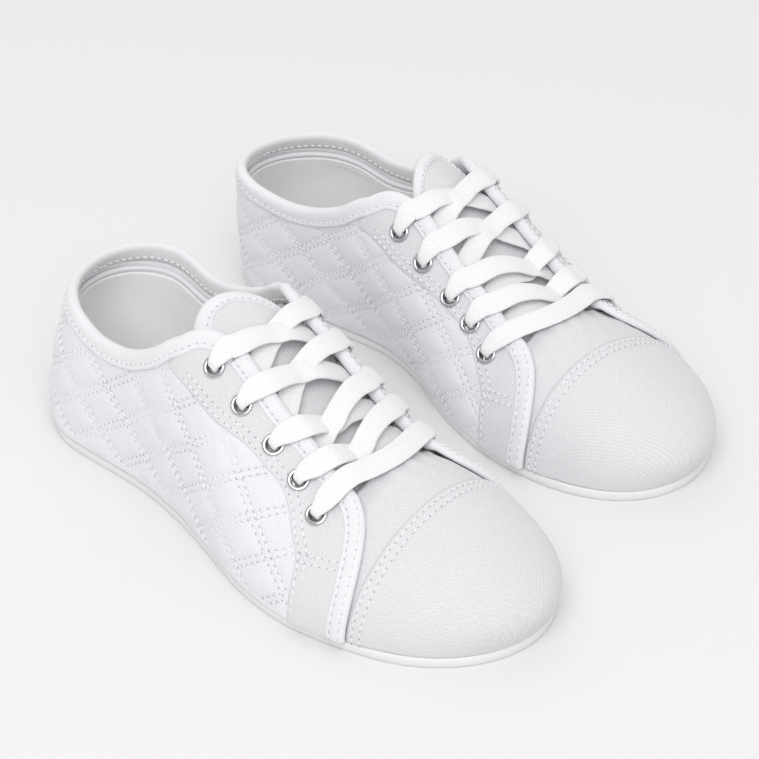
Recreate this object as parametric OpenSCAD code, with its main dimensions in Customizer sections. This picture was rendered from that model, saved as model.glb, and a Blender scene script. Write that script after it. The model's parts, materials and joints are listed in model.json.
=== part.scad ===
/* [Shoe form] */
// sole length, heel to toe
shoe_len = 245; // [225:1:270]
// thickness of the rubber sole
sole_t = 4.5; // [3:0.5:8]
// height of the toe box above the ground at the cap seam
toe_h = 44; // [38:1:50]
// how far the heel leans forward at the collar
heel_lean = 13; // [6:1:16]
// how far the heel collar swings to the inner side
heel_swing = 7; // [0:1:10]

/* [Panels] */
// outer canvas thickness
canvas_t = 1.0; // [0.6:0.1:1.0]
// width of the folded binding tape
tape_w = 7.2; // [6:0.1:8]
// gap between the quarter and the eyestay at their seam
seam_gap = 0.4; // [0.2:0.1:1]
// how far the middle of the tongue sags between the facings
tongue_sag = 3.5; // [0:0.5:5]

/* [Lacing] */
// flat lace width
lace_w = 9.4; // [6:0.2:10]
// flat lace thickness
lace_t = 1.4; // [0.8:0.1:1.6]
// outer diameter of an eyelet
eyelet_d = 8.6; // [8:0.1:10]
// eyelet hole diameter
eyelet_hole = 5.4; // [4:0.1:6]

/* [Pair layout] */
// sideways distance between the two shoes
pair_dx = 120; // [115:1:200]
// how far the left shoe stands back
pair_dy = 19.5; // [-40:0.5:40]
// turn of the left shoe
pair_rot = -5; // [-10:0.5:10]

/* [Hidden] */
L = shoe_len;
Z0 = sole_t;
// places the origin under the middle of the pair
pair_x0 = -57.93;
pair_y0 = -8.65;

// shape knots, one every tenth of the length from heel to toe
HALF_WIDTH = [56, 49, 37.5, 30.5, 28.7, 33.5, 43, 50.7, 56, 62, 68];
CENTRE = [-1, 0, 2, 4.5, 8.2, 9.8, 9, 7.5, 5.5, 4, 2];
RIDGE = [-9, -6, -3, -1, 0, 0, 0, 0, 0, 1, 2];
HEIGHT = [90, 90, 90, 92, 88, 77, 62, 50, toe_h, toe_h - 2.5, toe_h - 3];
SHOULDER = [.75, .75, .75, .75, .72, .64, .52, .42, .52, .6, .65];
UPPER_WIDTH = [45, 39, 30, 24, 22, 20, 21.5, 24, 28, 36, 41];
BULGE_OUT = [0, 1, 2, 3, 4, 4, 2, 1, 1, 1.5, 1.5];
BULGE_IN = [0, 1, 4, 12, 22, 20, 9, 2, 1, 1.5, 1.5];

// ---- curves ----
function knot(T, k) = let(n = len(T) - 1)
    k < 0 ? 2*T[0] - T[1] : k > n ? 2*T[n] - T[n-1] : T[k];
function catmull(a, b, c, d, f) =
    .5*((2*b) + (c - a)*f + (2*a - 5*b + 4*c - d)*f*f + (3*b - a - 3*c + d)*f*f*f);
// value of a knot table at t = 0 heel .. 1 toe
function knots(T, t) = let(n = len(T) - 1, u = max(0, min(1, t))*n, i = min(n - 1, floor(u)))
    catmull(knot(T, i-1), T[i], T[i+1], knot(T, i+2), u - i);
// smooth path through W with m steps between its points
function path(W, m) = let(n = len(W) - 1)
    [for (k = [0:n*m]) let(i = min(n - 1, floor(k/m)), f = k/m - i)
        catmull(knot(W, i-1), W[i], W[i+1], knot(W, i+2), f)];
function unit(v) = let(n = norm(v)) n < 1e-9 ? [0, 1, 0] : v/n;
function mixf(a, b, f) = a + (b - a)*f;
function sstep(a, b, x) = let(u = max(0, min(1, (x - a)/(b - a)))) u*u*(3 - 2*u);
function reversed(W) = [for (i = [len(W)-1:-1:0]) W[i]];

// ---- the upper's surface ----
// p = angle round the sole (0 heel, +-180 toe, + outer side), q = 0 at the sole .. 1 at the ridge
function P(p, q) = let(
    sn = sin(p),
    t = (1 - cos(p))/2,
    edge_x = knots(CENTRE, t) + knots(HALF_WIDTH, t)*sn,
    ridge_x = knots(RIDGE, t),
    u = max(0, min(1, (t - .8)/.2)),
    top = knots(HEIGHT, t)*(.25 + .75*sqrt(1 - u*u)),
    bulge = sn >= 0 ? knots(BULGE_OUT, t) : -knots(BULGE_IN, t),
    side_x = edge_x + bulge*min(1, abs(sn)*1.5),
    side_z = Z0 + knots(SHOULDER, t)*(top - Z0),
    upper_x = ridge_x + knots(UPPER_WIDTH, t)*sn,
    a = 1 - q, a0 = a*a*a, a1 = 3*q*a*a, a2 = 3*q*q*a, a3 = q*q*q,
    z = a0*Z0 + a1*side_z + (a2 + a3)*top,
    e = (z - Z0)/60,
    x = a0*edge_x + a1*side_x + a2*upper_x + a3*ridge_x - heel_swing*e*max(0, 1 - t/.4),
    heel = pow(max(0, 1 - t/.25), 2),
    toe = pow(max(0, (t - .75)/.25), 2),
    zt = max(0, min(1, (z - Z0)/30)))
    [x, L*t + heel*(heel_lean*e*e - 7*e*max(0, 1 - e)) + toe*5*sin(180*zt), z];
// directions round and up the surface, and its outward normal
function Pp(p, q) = (P(p + .4, q) - P(p - .4, q))/.8;
function Pq(p, q) = let(a = max(0, q - .01), b = min(1, q + .01)) (P(p, b) - P(p, a))/(b - a);
function N(p, q) = let(c = cross(Pp(p, q), Pq(p, q))) norm(c) < 1e-3 ? [0, 1, 0] : unit(c);
// point at an offset out from the surface
function S(p, q, o) = P(p, q) + N(p, q)*o;

// share q at which the surface at angle p comes within x of the middle
function qx(p, x, lo = .3, hi = 1, k = 16) = k == 0 ? (lo + hi)/2 : let(m = (lo + hi)/2)
    abs(P(p, m)[0]) > x ? qx(p, x, m, hi, k - 1) : qx(p, x, lo, m, k - 1);
// surface point at x from the middle and s from the heel
function XS(x, s) = let(p = acos(1 - 2*s/L)*(x < 0 ? -1 : 1)) [p, qx(p, abs(x))];

// shift a surface path sideways by w millimetres (positive = left of travel seen from outside)
function inset(W, w) = [for (i = [0:len(W)-1]) let(
    c = W[i],
    d = W[min(len(W)-1, i+1)] - W[max(0, i-1)],
    u = Pp(c[0], c[1]),
    v = Pq(c[0], c[1]),
    B = unit(cross(N(c[0], c[1]), u*d[0] + v*d[1])),
    E = u*u, F = u*v, G = v*v, D = E*G - F*F)
    [c[0] + w*((B*u)*G - (B*v)*F)/D, c[1] + w*((B*v)*E - (B*u)*F)/D]];

// ---- solids over the surface ----
// closed solid between two grids of n x m points
module solid_grid(A, B, n, m, ccw) {
    K = n*m;
    F = concat(
        [for (i = [0:n-2], j = [0:m-2])
            each [[i*m+j, i*m+j+1, (i+1)*m+j+1], [i*m+j, (i+1)*m+j+1, (i+1)*m+j]]],
        [for (i = [0:n-2], j = [0:m-2])
            each [[K+i*m+j, K+(i+1)*m+j+1, K+i*m+j+1], [K+i*m+j, K+(i+1)*m+j, K+(i+1)*m+j+1]]],
        [for (i = [0:n-2]) each [[i*m, (i+1)*m, K+(i+1)*m], [i*m, K+(i+1)*m, K+i*m]]],
        [for (i = [0:n-2]) let(j = m-1)
            each [[i*m+j, K+(i+1)*m+j, (i+1)*m+j], [i*m+j, K+i*m+j, K+(i+1)*m+j]]],
        [for (j = [0:m-2]) each [[j, K+j+1, j+1], [j, K+j, K+j+1]]],
        [for (j = [0:m-2]) let(i = n-1)
            each [[i*m+j, i*m+j+1, K+i*m+j+1], [i*m+j, K+i*m+j+1, K+i*m+j]]]);
    polyhedron(points = concat(A, B), faces = ccw ? F : [for (f = F) [f[0], f[2], f[1]]]);
}
// shell over a grid G of [p, q] cells, from offset o1 in to o2, or per row from the list O
module shell(G, o1, o2, O = []) {
    n = len(G);
    m = len(G[0]);
    a = G[1][0] - G[0][0];
    b = G[0][1] - G[0][0];
    A = [for (i = [0:n-1], j = [0:m-1]) S(G[i][j][0], G[i][j][1], len(O) ? O[i][0] : o1)];
    B = [for (i = [0:n-1], j = [0:m-1]) S(G[i][j][0], G[i][j][1], len(O) ? O[i][1] : o2)];
    solid_grid(A, B, n, m, a[0]*b[1] - a[1]*b[0] > 0);
}
// rings of section points joined into one solid, ends capped
module sweep(R, ccw = true) {
    n = len(R);
    m = len(R[0]);
    F = concat(
        [for (i = [0:n-2], j = [0:m-1]) let(k = (j+1)%m)
            each [[i*m+j, i*m+k, (i+1)*m+k], [i*m+j, (i+1)*m+k, (i+1)*m+j]]],
        [for (j = [1:m-2]) [0, j+1, j]],
        [for (j = [1:m-2]) let(a = (n-1)*m) [a, a+j, a+j+1]]);
    polyhedron(points = [for (r = R) each r], faces = ccw ? F : [for (f = F) [f[0], f[2], f[1]]]);
}
// shell round the toe, its two sides joined along the ridge
module toe_shell(angles, Q, o1, o2) {
    H = concat(angles, [for (i = [len(angles)-1:-1:0]) -angles[i]]);
    n = len(H);
    m = len(Q) - 1;
    h = len(angles);
    K = n*m + h;
    function id(i, j) = j < m ? i*m + j : n*m + (i < h ? i : n - 1 - i);
    function pts(o) = concat(
        [for (i = [0:n-1], j = [0:m-1]) S(H[i], Q[j], o)],
        [for (i = [0:h-1]) S(H[i], 1, o)]);
    T = [for (i = [0:n-2], j = [0:m-1])
        each [[id(i,j), id(i,j+1), id(i+1,j+1)], [id(i,j), id(i+1,j+1), id(i+1,j)]]];
    full = [for (f = T) if (f[0] != f[1] && f[1] != f[2] && f[0] != f[2]) f];
    F = concat(full,
        [for (f = full) [K+f[0], K+f[2], K+f[1]]],
        [for (i = [0:n-2]) each [[i*m, (i+1)*m, K+(i+1)*m], [i*m, K+(i+1)*m, K+i*m]]],
        [for (j = [0:m-1]) each [[id(0,j), K+id(0,j+1), id(0,j+1)], [id(0,j), K+id(0,j), K+id(0,j+1)]]],
        [for (j = [0:m-1]) let(i = n-1)
            each [[id(i,j), id(i,j+1), K+id(i,j+1)], [id(i,j), K+id(i,j+1), K+id(i,j)]]]);
    polyhedron(points = concat(pts(o1), pts(o2)), faces = F);
}
// children stand on the surface: x round the shoe, z out of it
module at_surface(p, q, o = 0) {
    c = S(p, q, o);
    n = N(p, q);
    a = unit(Pp(p, q));
    b = cross(n, a);
    multmatrix([[a[0], b[0], n[0], c[0]], [a[1], b[1], n[1], c[1]], [a[2], b[2], n[2], c[2]], [0, 0, 0, 1]])
        children();
}

// ---- seam and edge lines, for the outer side; sd = -1 gives the inner side ----
// collar edge as q at every tenth of 80 degrees
RIM_OUT = [.397, .396, .395, .393, .383, .358, .342, .42, .655];
RIM_IN = [.397, .396, .395, .393, .383, .363, .36, .435, .655];
RIM_ANGLES = [.8, 9, 18, 27, 36, 45, 54, 63, 70, 75];
// seam between the quilted quarter and the eyestay
SEAM = [[77, .428], [83, .43], [89, .44], [97, .50], [104, .515], [108, .48], [111, .412],
    [113.7, .35], [115, .26], [116, .14], [116.4, .004]];
SOLE_FRONT = [[119, .004], [121.5, .004], [123.6, .004]];
// edge of the throat and of the eyestay's front, down to the sole
THROAT = [[76.5, .565], [79.5, .655], [83, .715], [87.5, .745], [94, .735], [100, .735], [106, .74],
    [112, .72], [117, .705], [121, .65], [124.2, .56], [126.8, .43], [128.3, .29], [128.9, .15], [129, .004]];
EYELETS_OUT = [[85, .58], [92.3, .573], [100.2, .588], [107, .578], [113.2, .53]];
EYELETS_IN = [[-85.5, .555], [-92.2, .550], [-99.6, .560], [-105.4, .556], [-111.2, .512]];
CAP_EDGE = 129.6;
FOOT_Q = .004;
function sided(W, sd) = [for (c = W) [sd*c[0], c[1]]];
function throat(sd) = sided(path(THROAT, 2), sd);
function seam(sd) = sided(path(SEAM, 2), sd);
function eyelet(sd, i) = sd > 0 ? EYELETS_OUT[i] : EYELETS_IN[i];
function rim(sd) = [for (p = RIM_ANGLES) [sd*p, knots(sd > 0 ? RIM_OUT : RIM_IN, p/80)]];
// the collar edge moved down by w
function rim_inset(sd, w) = let(c = rim(sd), t = throat(sd), I = inset(concat(c, [t[0], t[1]]), -sd*w))
    [for (i = [0:len(c)-1]) I[i]];
// 0 behind the vamp, 1 where the eyestay lies over it
function over(p) = sstep(115.3, 118, abs(p));

// ---- quarters, lining and heel ----
QUARTER_ROWS = 7;
function quarter_grid(sd, g) = let(
    a = rim_inset(sd, tape_w + g),
    b = inset(seam(sd), -sd*g/2),
    top = concat(a, b),
    n1 = len(a),
    n2 = len(b),
    foot = [for (i = [0:n1+n2-1])
        i < n1 ? top[i][0] : sd*mixf(RIM_ANGLES[n1-1] + 3, 115.6, pow((i - n1)/(n2 - 1), .85))])
    [for (i = [0:n1+n2-2]) [for (j = [0:QUARTER_ROWS]) let(v = j/QUARTER_ROWS)
        [mixf(foot[i], top[i][0], v), mixf(FOOT_Q, top[i][1], v)]]];
module quarter(sd) shell(quarter_grid(sd, seam_gap), 1.2, 1.2 - canvas_t);
module quarter_lining() {
    g = seam_gap + .3;
    shell(concat(reversed(quarter_grid(-1, g)), quarter_grid(1, g)), -.15, -1.05);
}
// layer round the heel over the first columns and rows of the quarters
module heel_layer(columns, rows, o1, o2) {
    a = quarter_grid(1, seam_gap);
    b = quarter_grid(-1, seam_gap);
    g = concat([for (i = [columns:-1:0]) b[i]], [for (i = [0:columns]) a[i]]);
    shell([for (c = g) [for (j = [0:rows]) c[j]]], o1, o2);
}

// ---- eyestays, bindings and eyelets ----
module eyestay(sd) {
    top = inset(throat(sd), -sd*(tape_w + .3));
    low = concat(inset(seam(sd), sd*seam_gap/2), sided(path(SOLE_FRONT, 1), sd));
    n = len(top);
    m = len(low);
    // the lower line is spread over as many columns as the upper one
    G = [for (i = [0:n-1])
        let(u = i*(m - 1)/(n - 1), k = min(m - 2, floor(u)), b = mixf(low[k], low[k+1], u - k))
        [for (j = [0:4]) mixf(b, top[i], j/4)]];
    O = [for (i = [0:n-1]) let(f = over(G[i][2][0])) [mixf(1.2, 1.6, f), mixf(-.9, .5, f)]];
    difference() {
        shell(G, 1, 0, O);
        for (i = [0:4]) at_surface(eyelet(sd, i)[0], eyelet(sd, i)[1])
            cylinder(d = eyelet_hole + 1.1, h = 9, center = true, $fn = 40);
    }
}
// rounded folded tape along T, its width lying to the inner side
module tape(T, sd, lift = true) {
    edge = inset(T, -sd*.6);
    middle = inset(T, -sd*tape_w*.5);
    inner = inset(T, -sd*tape_w);
    R = [for (i = [0:len(T)-1])
        let(k = lift ? over(T[i][0]) : 0, lo = mixf(-1.4, .5, k), hi = mixf(2.0, 2.3, k))
        [S(inner[i][0], inner[i][1], lo), S(edge[i][0], edge[i][1], lo),
         S(T[i][0], T[i][1], (lo + hi)/2), S(edge[i][0], edge[i][1], hi),
         S(middle[i][0], middle[i][1], hi + .1), S(inner[i][0], inner[i][1], hi - .2)]];
    sweep(R, sd < 0);
}
module collar_tape() {
    a = concat(rim(1), [for (i = [0:6]) throat(1)[i]]);
    b = concat(rim(-1), [for (i = [0:6]) throat(-1)[i]]);
    tape(concat(reversed(b), a), 1, lift = false);
}
module front_tape(sd) {
    t = throat(sd);
    tape(concat([mixf(t[6], t[7], .3)], [for (i = [7:len(t)-1]) t[i]]), sd);
}
module eyelets(sd) {
    r = eyelet_hole/2;
    f = eyelet_d/2;
    for (i = [0:4]) at_surface(eyelet(sd, i)[0], eyelet(sd, i)[1])
        rotate_extrude($fn = 32) polygon([
            [r, -1.8], [f - .5, -1.8], [f - .5, -1.45], [r + .4, -1.45], [r + .4, 1.6],
            [f, 1.6], [f, 1.8], [f - .7, 2.15], [r + .5, 2.15], [r, 1.7]]);
}

// ---- toe cap, puff and vamp ----
CAP_COLUMNS = [0, .1, .2, .32, .44, .56, .68, .79, .89, .965];
CAP_ROWS = [FOOT_Q, .12, .24, .36, .48, .6, .72, .84, .93, 1];
function cap_angles(first) = [for (i = [first:len(CAP_COLUMNS)-1]) mixf(CAP_EDGE, 180, CAP_COLUMNS[i])];
module toe_cap() toe_shell(cap_angles(0), CAP_ROWS, 0, -canvas_t);
module toe_puff() toe_shell(cap_angles(2), concat([.03], [for (i = [1:9]) CAP_ROWS[i]]), -1.4, -2.2);
module vamp() {
    G = [for (k = [-9:9])
        let(q = 1 - (abs(k) == 9 ? 1 - FOOT_Q : abs(k)/9), s = k < 0 ? -1 : 1, rear = 119.4 + 1.2*(1 - q))
        [for (j = [0:4]) [s*mixf(rear, CAP_EDGE - .25, j/4), q]]];
    shell(G, 0, -canvas_t);
}

// ---- tongue ----
TONGUE_HALF = 27;
TONGUE_END = 191;
TONGUE_ROOT = 122;
TONGUE_BIND = 6.3;
TONGUE_ANGLES = [-114, -102, -90, -72, -54, -36, -18, 0, 18, 36, 54, 72, 90, 102, 114];
// round top of half width w, leaning to the outer side, and straight sides: [x, s]
function tongue_edge(a, w, rise) = let(x = abs(a) > 90 ? sign(a)*w : w*sin(a))
    [x, TONGUE_ROOT - .55*x - .006*x*x + (abs(a) > 90 ? abs(a) - 90 : -rise*cos(a))];
function tongue_off(x, s) = mixf(-4.5 - tongue_sag*max(0, 1 - x*x/400)*sstep(112, 124, s), -1.5,
    sstep(183, 190, s));
module tongue() {
    w = TONGUE_HALF - TONGUE_BIND;
    n = len(TONGUE_ANGLES);
    G = [for (i = [0:n-1], j = [0:8])
        let(e = tongue_edge(TONGUE_ANGLES[i], w, w - 2), x = mixf(e[0], w*(2*i/(n-1) - 1), min(1, j/3)),
            s = mixf(e[1], TONGUE_END, j/8), c = XS(x, s))
        [c[0], c[1], tongue_off(x, s)]];
    A = [for (g = G) S(g[0], g[1], g[2])];
    B = [for (g = G) S(g[0], g[1], g[2] - 1.5)];
    solid_grid(A, B, n, 9, true);
}
module tongue_tape() {
    // section: how far in from the edge, and offset from the surface
    section = [[6, -6.5], [.6, -6.5], [0, -5.45], [.6, -4.4], [3, -4.3], [6, -4.4]];
    R = [for (a = TONGUE_ANGLES) [for (k = section)
        let(w = TONGUE_HALF - k[0], e = tongue_edge(a, w, w - 2), c = XS(e[0], e[1])) S(c[0], c[1], k[1])]];
    sweep(R, true);
}

// ---- sole parts ----
// outline of the sole grown by d
function outline(d) = [for (p = [-180:5:175])
    let(a = P(p, 0), u = P(p + 1, 0) - P(p - 1, 0), n = unit([u[1], -u[0], 0]))
    [a[0] + n[0]*d, a[1] + n[1]*d]];
module plate(d, z0, z1) translate([0, 0, z0]) linear_extrude(z1 - z0) polygon(outline(d));
module outsole() difference() {
    union() {
        plate(-.7, 0, 1);
        plate(.4, 1, Z0 - .05);
    }
    intersection() {
        plate(-8, -1, .9);
        for (s = [18:7:L-13]) translate([-70, s, -1]) cube([140, 2.2, 1.9]);
    }
}
module insole_board() plate(-5, Z0 + .4, Z0 + 1.8);
module footbed() plate(-5.4, Z0 + 2.2, Z0 + 4.6);

// ---- lace: one length along its real route ----
// lace centre above the facing and under it, and the hole's own depth
OVER = 3.15;
UNDER = -2.8;
// where the two strands of each pair cross: x, s
CROSSINGS = [[3, 120], [6, 135], [8, 154], [7, 167]];
function eye(sd, i) = let(e = eyelet(sd, i), c = P(e[0], e[1])) [c[0], c[1]];
// points are [x, s, offset, pinch]; pinch 1 = gathered to pass a hole
function out_of(sd, i) = let(a = eye(sd, i))
    [[a[0], a[1], UNDER, 1], [a[0], a[1], 0, 1], [a[0], a[1], 2.9, 1]];
// one strand: out of hole i, over the facing, through the crossing and under the far facing to hole i + 1
function strand(sd, i, high) = let(
    a = eye(sd, i),
    b = eye(-sd, i + 1),
    m = CROSSINGS[i],
    near = [sd*17.5, mixf(a[1], m[1], (a[0] - sd*17.5)/(a[0] - m[0]))],
    far = [-sd*17.5, mixf(m[1], b[1], (m[0] + sd*17.5)/(m[0] - b[0]))])
    concat(out_of(sd, i), [
        [a[0] - sd*2.6, mixf(a[1], near[1], .15), OVER + .55, .45],
        [a[0] - sd*6, mixf(a[1], near[1], .45), OVER + .2, 0],
        [near[0], near[1], OVER, 0],
        [mixf(near[0], m[0], .4), mixf(near[1], m[1], .4), high ? 1.0 : .4, .1],
        [mixf(near[0], m[0], .75), mixf(near[1], m[1], .75), high ? -1.0 : -2.6, .2],
        [m[0], m[1], high ? -2.0 : -3.7, .1],
        [mixf(m[0], far[0], .3), mixf(m[1], far[1], .3), high ? -2.0 : -4.0, .2],
        [mixf(m[0], far[0], .65), mixf(m[1], far[1], .65), high ? -2.6 : -3.4, .1],
        [far[0], far[1], UNDER, 0],
        [b[0] + sd*6, mixf(far[1], b[1], .6), UNDER, 0],
        [b[0] + sd*2.6, mixf(far[1], b[1], .85), UNDER, .5]]);
// the bar across the outside of the fifth pair, bowed towards the toe
BAR = [[17.5, 173, 3.15], [13, 174.6, 1.8], [7, 176, .7], [0, 176.6, .3], [-7, 175.6, .7], [-13, 173.6, 1.8],
    [-17.5, 171.6, 3.15]];
function bar() = let(a = eye(1, 4), b = eye(-1, 4)) concat(out_of(1, 4),
    [[a[0] - 2.6, a[1] + .4, OVER + .5, .45]], [for (k = BAR) [k[0], k[1], k[2], 0]],
    [[b[0] + 2.6, b[1] + .9, OVER + .5, .45]], reversed(out_of(-1, 4)));
LACE = concat(
    strand(1, 0, true), strand(-1, 1, false), strand(1, 2, false), strand(-1, 3, true), bar(),
    reversed(strand(1, 3, false)), reversed(strand(-1, 2, true)),
    reversed(strand(1, 1, true)), reversed(strand(-1, 0, false)));
// point k of a tail tucked down inside the quarter, and the direction round the shoe there
function tail(sd, k) = let(e = eyelet(sd, 0), p = e[0] - sd*.24*k, q = e[1] - .022 - .036*k)
    [S(p, q, -2.9 - .4*k), unit(Pp(e[0], q))];
module lace() {
    // each knot: centre, width direction, pinch
    route = [for (w = LACE) let(c = XS(w[0], w[1]))
        [S(c[0], c[1], w[2]), unit(Pp(c[0], c[1]))*(w[0] < 0 ? -1 : 1), w[3]]];
    Q = concat(
        [for (k = [6:-1:1]) let(t = tail(1, k)) [t[0], t[1], k < 2 ? .6 : 0]],
        route,
        [for (k = [1:6]) let(t = tail(-1, k)) [t[0], -t[1], k < 2 ? .6 : 0]]);
    n = len(Q);
    R = [for (i = [0:n-1]) let(
        T = unit(Q[min(n-1, i+1)][0] - Q[max(0, i-1)][0]),
        b = unit(Q[i][1] - T*(Q[i][1]*T)),
        m = cross(T, b),
        w = mixf(lace_w, 3.8, Q[i][2])/2,
        h = mixf(lace_t, 2.4, Q[i][2])/2,
        c = Q[i][0])
        [c - b*w, c - b*w*.6 - m*h, c + b*w*.6 - m*h, c + b*w, c + b*w*.6 + m*h, c - b*w*.6 + m*h]];
    sweep(R, false);
}
module aglets() for (sd = [-1, 1]) {
    a = tail(sd, 6)[0];
    d = unit(a - tail(sd, 5)[0]);
    u = unit(cross(d, [1, 0, 0]));
    v = cross(d, u);
    c = a + d*.3;
    multmatrix([[u[0], v[0], d[0], c[0]], [u[1], v[1], d[1], c[1]], [u[2], v[2], d[2], c[2]], [0, 0, 0, 1]])
        cylinder(d = 2.4, h = 16, $fn = 24);
}

// ---- placing ----
module right() translate([pair_x0, L/2 + pair_y0, 0]) rotate([0, 0, 180]) children();
module left() translate([pair_x0 + pair_dx, pair_y0 + pair_dy, 0]) rotate([0, 0, pair_rot])
    mirror([1, 0, 0]) translate([0, L/2, 0]) rotate([0, 0, 180]) children();

module right_outsole() color("#f4f4f2") right() outsole();
module right_insole_board() color("#d8cfbf") right() insole_board();
module right_footbed() color("#efece4") right() footbed();
module right_toe_cap() color("#f6f6f6") right() toe_cap();
module right_toe_puff() color("#e4e0d6") right() toe_puff();
module right_vamp() color("#f6f6f6") right() vamp();
module right_tongue() color("#f6f6f6") right() tongue();
module right_tongue_tape() color("#fafafa") right() tongue_tape();
module right_lateral_quarter() color("#f2f2f4") right() quarter(1);
module right_medial_quarter() color("#f2f2f4") right() quarter(-1);
module right_lateral_eyestay() color("#f6f6f6") right() eyestay(1);
module right_medial_eyestay() color("#f6f6f6") right() eyestay(-1);
module right_lateral_eyelets() color("#b8b8bc") right() eyelets(1);
module right_medial_eyelets() color("#b8b8bc") right() eyelets(-1);
module right_collar_tape() color("#fafafa") right() collar_tape();
module right_lateral_front_tape() color("#fafafa") right() front_tape(1);
module right_medial_front_tape() color("#fafafa") right() front_tape(-1);
module right_quarter_lining() color("#f0eee8") right() quarter_lining();
module right_heel_counter() color("#e0dcd2") right() heel_layer(6, 6, -1.45, -2.35);
module right_heel_pocket() color("#ecebe6") right() heel_layer(6, 7, -2.8, -3.5);
module right_lace() color("#ffffff") right() lace();
module right_aglets() color("#f8f8f8") right() aglets();
module left_outsole() color("#f4f4f2") left() outsole();
module left_insole_board() color("#d8cfbf") left() insole_board();
module left_footbed() color("#efece4") left() footbed();
module left_toe_cap() color("#f6f6f6") left() toe_cap();
module left_toe_puff() color("#e4e0d6") left() toe_puff();
module left_vamp() color("#f6f6f6") left() vamp();
module left_tongue() color("#f6f6f6") left() tongue();
module left_tongue_tape() color("#fafafa") left() tongue_tape();
module left_lateral_quarter() color("#f2f2f4") left() quarter(1);
module left_medial_quarter() color("#f2f2f4") left() quarter(-1);
module left_lateral_eyestay() color("#f6f6f6") left() eyestay(1);
module left_medial_eyestay() color("#f6f6f6") left() eyestay(-1);
module left_lateral_eyelets() color("#b8b8bc") left() eyelets(1);
module left_medial_eyelets() color("#b8b8bc") left() eyelets(-1);
module left_collar_tape() color("#fafafa") left() collar_tape();
module left_lateral_front_tape() color("#fafafa") left() front_tape(1);
module left_medial_front_tape() color("#fafafa") left() front_tape(-1);
module left_quarter_lining() color("#f0eee8") left() quarter_lining();
module left_heel_counter() color("#e0dcd2") left() heel_layer(6, 6, -1.45, -2.35);
module left_heel_pocket() color("#ecebe6") left() heel_layer(6, 7, -2.8, -3.5);
module left_lace() color("#ffffff") left() lace();
module left_aglets() color("#f8f8f8") left() aglets();

right_outsole();
right_insole_board();
right_footbed();
right_toe_cap();
right_toe_puff();
right_vamp();
right_tongue();
right_tongue_tape();
right_lateral_quarter();
right_medial_quarter();
right_lateral_eyestay();
right_medial_eyestay();
right_lateral_eyelets();
right_medial_eyelets();
right_collar_tape();
right_lateral_front_tape();
right_medial_front_tape();
right_quarter_lining();
right_heel_counter();
right_heel_pocket();
right_lace();
right_aglets();
left_outsole();
left_insole_board();
left_footbed();
left_toe_cap();
left_toe_puff();
left_vamp();
left_tongue();
left_tongue_tape();
left_lateral_quarter();
left_medial_quarter();
left_lateral_eyestay();
left_medial_eyestay();
left_lateral_eyelets();
left_medial_eyelets();
left_collar_tape();
left_lateral_front_tape();
left_medial_front_tape();
left_quarter_lining();
left_heel_counter();
left_heel_pocket();
left_lace();
left_aglets();
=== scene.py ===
"""Pair of canvas cheer shoes: the looks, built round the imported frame.

Every soft panel is a grid laid on one shoe-last surface, in millimetres in the shoe's own frame
(x to the outer side, s from heel to toe, z up). A piece is made once and placed for both feet.
"""
import json
import math

import bmesh
import bpy
import numpy as np
from mathutils import Matrix, Vector


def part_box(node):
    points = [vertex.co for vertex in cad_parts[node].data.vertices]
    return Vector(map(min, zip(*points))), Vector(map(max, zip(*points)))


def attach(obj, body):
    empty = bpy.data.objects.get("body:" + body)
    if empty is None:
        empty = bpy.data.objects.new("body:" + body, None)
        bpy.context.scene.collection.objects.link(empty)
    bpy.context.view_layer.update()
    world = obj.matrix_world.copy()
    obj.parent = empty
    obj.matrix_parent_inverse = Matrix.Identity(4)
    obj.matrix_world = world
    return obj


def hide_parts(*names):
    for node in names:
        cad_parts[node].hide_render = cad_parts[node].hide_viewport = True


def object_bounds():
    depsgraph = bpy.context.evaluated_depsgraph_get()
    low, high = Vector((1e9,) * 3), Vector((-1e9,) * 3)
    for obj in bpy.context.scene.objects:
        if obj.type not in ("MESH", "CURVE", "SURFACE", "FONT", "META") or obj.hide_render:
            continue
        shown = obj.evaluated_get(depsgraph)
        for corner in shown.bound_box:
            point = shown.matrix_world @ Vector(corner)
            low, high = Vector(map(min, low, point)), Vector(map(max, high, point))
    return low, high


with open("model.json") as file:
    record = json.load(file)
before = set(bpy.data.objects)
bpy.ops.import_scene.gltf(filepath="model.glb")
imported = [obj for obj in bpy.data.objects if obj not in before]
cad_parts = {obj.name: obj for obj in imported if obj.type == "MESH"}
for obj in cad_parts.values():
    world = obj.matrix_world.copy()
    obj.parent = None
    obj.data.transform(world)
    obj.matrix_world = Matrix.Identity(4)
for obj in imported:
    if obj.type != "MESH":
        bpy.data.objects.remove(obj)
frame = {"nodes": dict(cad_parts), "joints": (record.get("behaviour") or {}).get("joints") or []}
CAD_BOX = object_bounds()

bl_info = {
    "name": "Cheer shoes",
    "version": (1, 0, 0),
    "blender": (4, 5, 0),
    "location": "View3D > Sidebar > Cheer shoes",
    "description": "Quilted canvas cheer shoes with laces, bindings, eyelets and rubber soles",
    "category": "Add Mesh",
}

MM = 0.001

# ---------------------------------------------------------------- sizes and colours


def length(name, about, default, low, high):
    """A length in millimetres that a user may change."""
    return bpy.props.FloatProperty(name=name, description=about, default=default, min=low, max=high)


def linear(hex_colour):
    """sRGB hex to linear RGBA."""
    parts = [int(hex_colour[i:i + 2], 16) / 255 for i in (1, 3, 5)]
    return [c / 12.92 if c <= .04045 else ((c + .055) / 1.055)**2.4 for c in parts] + [1.0]


def colour(name, about, hex_colour):
    """A colour that a user may change."""
    return bpy.props.FloatVectorProperty(name=name, description=about, subtype="COLOR", size=4, min=0, max=1,
                                         default=linear(hex_colour))


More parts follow.
